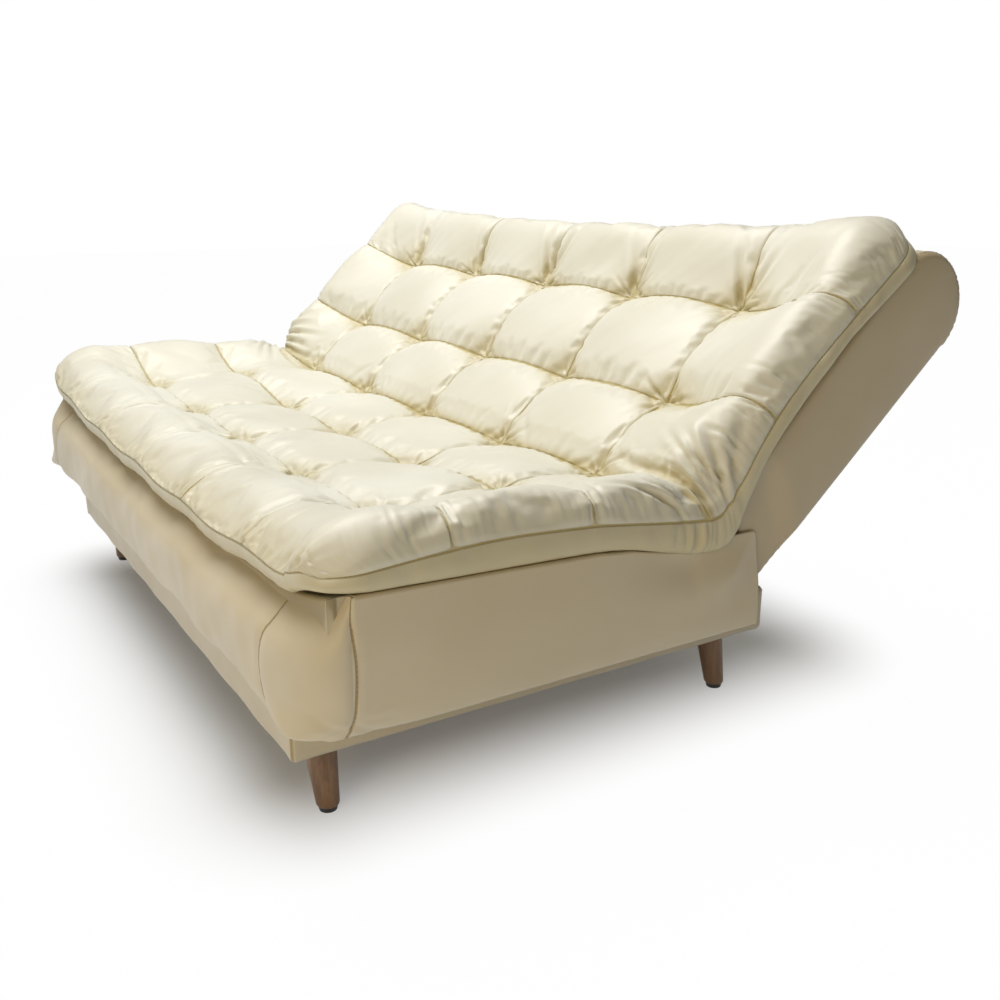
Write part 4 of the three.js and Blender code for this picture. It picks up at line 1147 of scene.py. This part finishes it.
def make_back_wrap():
    """The cover that runs over the top of the back box and down its rear."""
    width, heel, rail_rear, corner = 0.8727, 0.0505, -0.1166, BACK_FRAME_END + 0.0004
    inside = np.array([(heel, rail_rear), (corner, rail_rear), (corner, 0.02)])
    outside = np.concatenate([roll_arc(46, 0.0006), rear_line(BACK_FRAME_END - 0.006, heel, 60)])
    run = lengths(outside)
    tangent = np.gradient(outside, axis=0)
    normal = unit(np.stack([-tangent[:, 1], tangent[:, 0]], -1))
    if normal[len(normal) // 4, 0] < 0:
        normal = -normal
    edge = np.array([0.0, 0.0015, 0.004, 0.008, 0.013, 0.02, 0.03, 0.045])
    xs = np.concatenate([-width + edge, np.linspace(-width + 0.07, width - 0.07, 90), (width - edge)[::-1]])
    loops, seam, along, fold_shade = [], [], [], []
    rounded = smooth((outside[:, 0] - 0.585) / 0.03)
    most = np.interp(outside[:, 0], [0.36, 0.50], [-0.0006, 0.0025])
    for x in xs:
        inward = width - abs(x)
        soft = float(edge_height(inward, 0.012))
        gather = np.sin(run / 0.009 * 6.28 + 1.3) * math.exp(-inward / 0.018) * rounded * 0.0010
        uneven = waves(51, (run, 0.30), (np.full(len(run), x), 0.42))
        offset = -0.0055 * (1 - soft) + gather + uneven * 0.0018 * min(1, inward / 0.05)
        offset = offset * np.clip((run[-1] - run) / 0.01, 0, 1) * np.clip(run / 0.01, 0, 1)
        ring = np.concatenate([outside + normal * np.minimum(offset, most)[:, None], inside])
        loops.append(to_model(x, back_point(ring[:, 0], ring[:, 1])))
        seam.append([inward + 0.0003] * len(ring))
        along.append([*run, 0, 0, 0])
        # Painted shade along the sewn edges, where the cover rolls in.
        fold_shade.append([0.35 * math.exp(-inward / 0.004)] * len(ring))
    wrap = make_mesh("back_wrap", loops, loft(loops), shaded_box_leather, "back",
                     values={"seam": seam, "along": along, "fold_shade": fold_shade})
    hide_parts("back_rear_panel", "back_top_roll")


def plinth_plan(half_x, deep, radius):
    """The plinth's outline from above, with rounded corners."""
    centres = [(half_x - radius, radius, -90), (half_x - radius, deep - radius, 0),
               (-half_x + radius, deep - radius, 90), (-half_x + radius, radius, 180)]
    corners = []
    for x, y, start in centres:
        angle = np.radians(np.linspace(start, start + 90, 9))
        corners.append(np.array([x, y]) + radius * np.stack([np.cos(angle), np.sin(angle)], -1))
    plan = []
    for k, corner in enumerate(corners):
        straight = np.linspace(corner[-1], corners[(k + 1) % 4][0], 70)[1:-1]
        plan += [*corner, *straight]
    return np.array(plan)


def make_plinth():
    """The plinth's leather: a ring with soft edges, sewn down its corners."""
    half_x, deep, thick, low, high = 0.72, 0.945, 0.020, 0.120, 0.205
    plan = plinth_plan(half_x, deep, 0.009)
    run = lengths(np.vstack([plan, plan[:1]]))[:-1]
    tangent = np.roll(plan, -1, 0) - np.roll(plan, 1, 0)
    normal = unit(np.stack([tangent[:, 1], -tangent[:, 0]], -1))
    corner_points = np.array([(sx * half_x, y) for sx in (-1, 1) for y in (0.0, deep)])
    to_corner = np.min(np.linalg.norm(plan[:, None] - corner_points[None], axis=2), axis=1)
    inside = np.clip(plan, (thick - half_x, thick), (half_x - thick, deep - thick))
    q = np.linspace(0, 1, 15)
    up = (high - low) * q
    soft = -0.0045 * (np.clip(1 - q / 0.10, 0, 1) ** 2 + np.clip(1 - (1 - q) / 0.05, 0, 1) ** 2)
    loops, seam, fold_shade = [], [], []
    for k, reach in enumerate(to_corner):
        ripple = (waves(61, (run[k] + 0 * q, 0.25), (up, 0.10)) - 0.6) * 0.0014
        ripple = np.minimum(ripple, 0.0005) * min(1, reach / 0.03)
        outer = plan[k] + np.multiply.outer(soft + ripple, normal[k])
        ring = [(x, y + FRONT, low + z) for (x, y), z in zip(outer, up)]
        ring += [(inside[k, 0], inside[k, 1] + FRONT, z) for z in (high - 0.0004, low + 0.0004)]
        loops.append(ring)
        seam.append([max(0, reach - 0.0028)] * len(q) + [1, 1])
        # Painted shade near the sewn corners.
        fold_shade.append([0.4 * math.exp(-reach / 0.006)] * len(ring))
    along = np.tile([*up, 0, 0], (len(plan), 1))
    sleeve = make_mesh("plinth_sleeve", loops, loft(loops, ring=True), shaded_box_leather, "base",
                       values={"seam": seam, "along": along, "fold_shade": fold_shade})
    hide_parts("plinth_front", "plinth_rear", "plinth_left", "plinth_right")


def make_leg(end, side):
    """A turned, splayed leg with eased edges."""
    node = f"leg_{end}_{side}"
    low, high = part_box(node)
    sign = 1 if side == "right" else -1
    lean = math.tan(math.radians(13))
    y = (low.y + high.y) / 2
    foot_radius, top_radius = 0.0189, 0.0268
    foot = (high.x if sign > 0 else low.x) - sign * 0.0185
    top_z, low_z = 0.1196, 0.0084
    profile = [(0.0150, low_z), (0.0172, low_z + 0.0006), (0.0184, low_z + 0.0025),
               (foot_radius, low_z + 0.006)]
    profile += [(foot_radius + (top_radius - foot_radius) * t, low_z + 0.006 + (top_z - low_z - 0.008) * t)
                for t in np.linspace(0, 1, 14)[1:]]
    profile += [(0.0262, top_z - 0.0006), (0.0240, top_z)]
    angle = np.linspace(0, 2 * math.pi, 49)[:-1]
    loops = []
    for radius, z in profile:
        centre = foot - sign * lean * (z - low_z)
        loops.append([(centre + radius * math.cos(a), y + radius * math.sin(a), z) for a in angle])
    leg = make_mesh(f"turned_{node}", loops, loft(loops), leg_timber, "base")
    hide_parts(node)


def make_sheet(name, low, high, axis, material):
    """A thin leather or cloth sheet with a slightly uneven face, closed: low and high are its corners."""
    steps = [max(2, int((high[k] - low[k]) / 0.012)) if k != axis else 2 for k in range(3)]
    first, second = [k for k in range(3) if k != axis]
    a = np.linspace(low[first], high[first], steps[first])
    b = np.linspace(low[second], high[second], steps[second])
    grid_a, grid_b = np.meshgrid(a, b)
    uneven = waves(71, (grid_a, 0.23), (grid_b, 0.15)) * 0.0006 - 0.0006
    points = []
    for level in (low[axis], high[axis]):
        layer = np.zeros((*grid_a.shape, 3))
        layer[..., first], layer[..., second], layer[..., axis] = grid_a, grid_b, level
        if level == low[axis]:
            layer[..., axis] -= uneven
        points.append(layer.reshape(-1, 3))
    faces = plate_faces(*grid_a.shape)
    sheet = make_mesh(name, np.concatenate(points), faces, material, "base", smooth_shade=False)


make_seat_cover()
make_sheet("seat_front_strip", (-0.7185, FRONT - 0.0022, 0.2055), (0.7185, FRONT - 0.0003, 0.2405), 1,
           shaded_box_leather)
for sign, side in ((-1, "left"), (1, "right")):
    near, far = sorted((sign * 0.7203, sign * 0.7222))
    make_sheet(f"seat_side_strip_{side}", (near, FRONT + 0.0001, 0.2055), (far, FRONT + 0.600, 0.2402), 0,
               shaded_box_leather)
    near, far = sorted((sign * 0.7225, sign * 0.8810))
    make_sheet(f"under_cloth_{side}", (near, FRONT + 0.0012, 0.2376), (far, FRONT + 0.600, 0.2388), 2,
               shaded_box_leather)
make_foam()
make_back_wrap()
for sign in (-1, 1):
    make_back_side(sign)
make_plinth()
for end in ("front", "rear"):
    for side in ("left", "right"):
        make_leg(end, side)

# The CAD's own pieces that show as they are

finishes = {"leather_base": shaded_box_leather, "leather_pad": pad_leather, "frame_wood": frame_timber,
            "leg_wood": leg_timber, "steel": plated_steel, "glide_plastic": glide_black,
            "rubber": bumper_rubber}
slots = {part["node"]: part["material_slot"] for part in frame["record"]["subparts"]}
for node, piece in frame["nodes"].items():
    finish = finishes.get(slots.get(node))
    if finish is None or piece.hide_render:
        continue
    piece.data.materials.clear()
    piece.data.materials.append(finish)
    edges = piece.modifiers.new("eased_edges", "BEVEL")
    edges.width = 0.0006 if slots[node] in ("steel", "glide_plastic") else 0.0015
    edges.segments = 2
    edges.limit_method = "ANGLE"
    edges.harden_normals = False
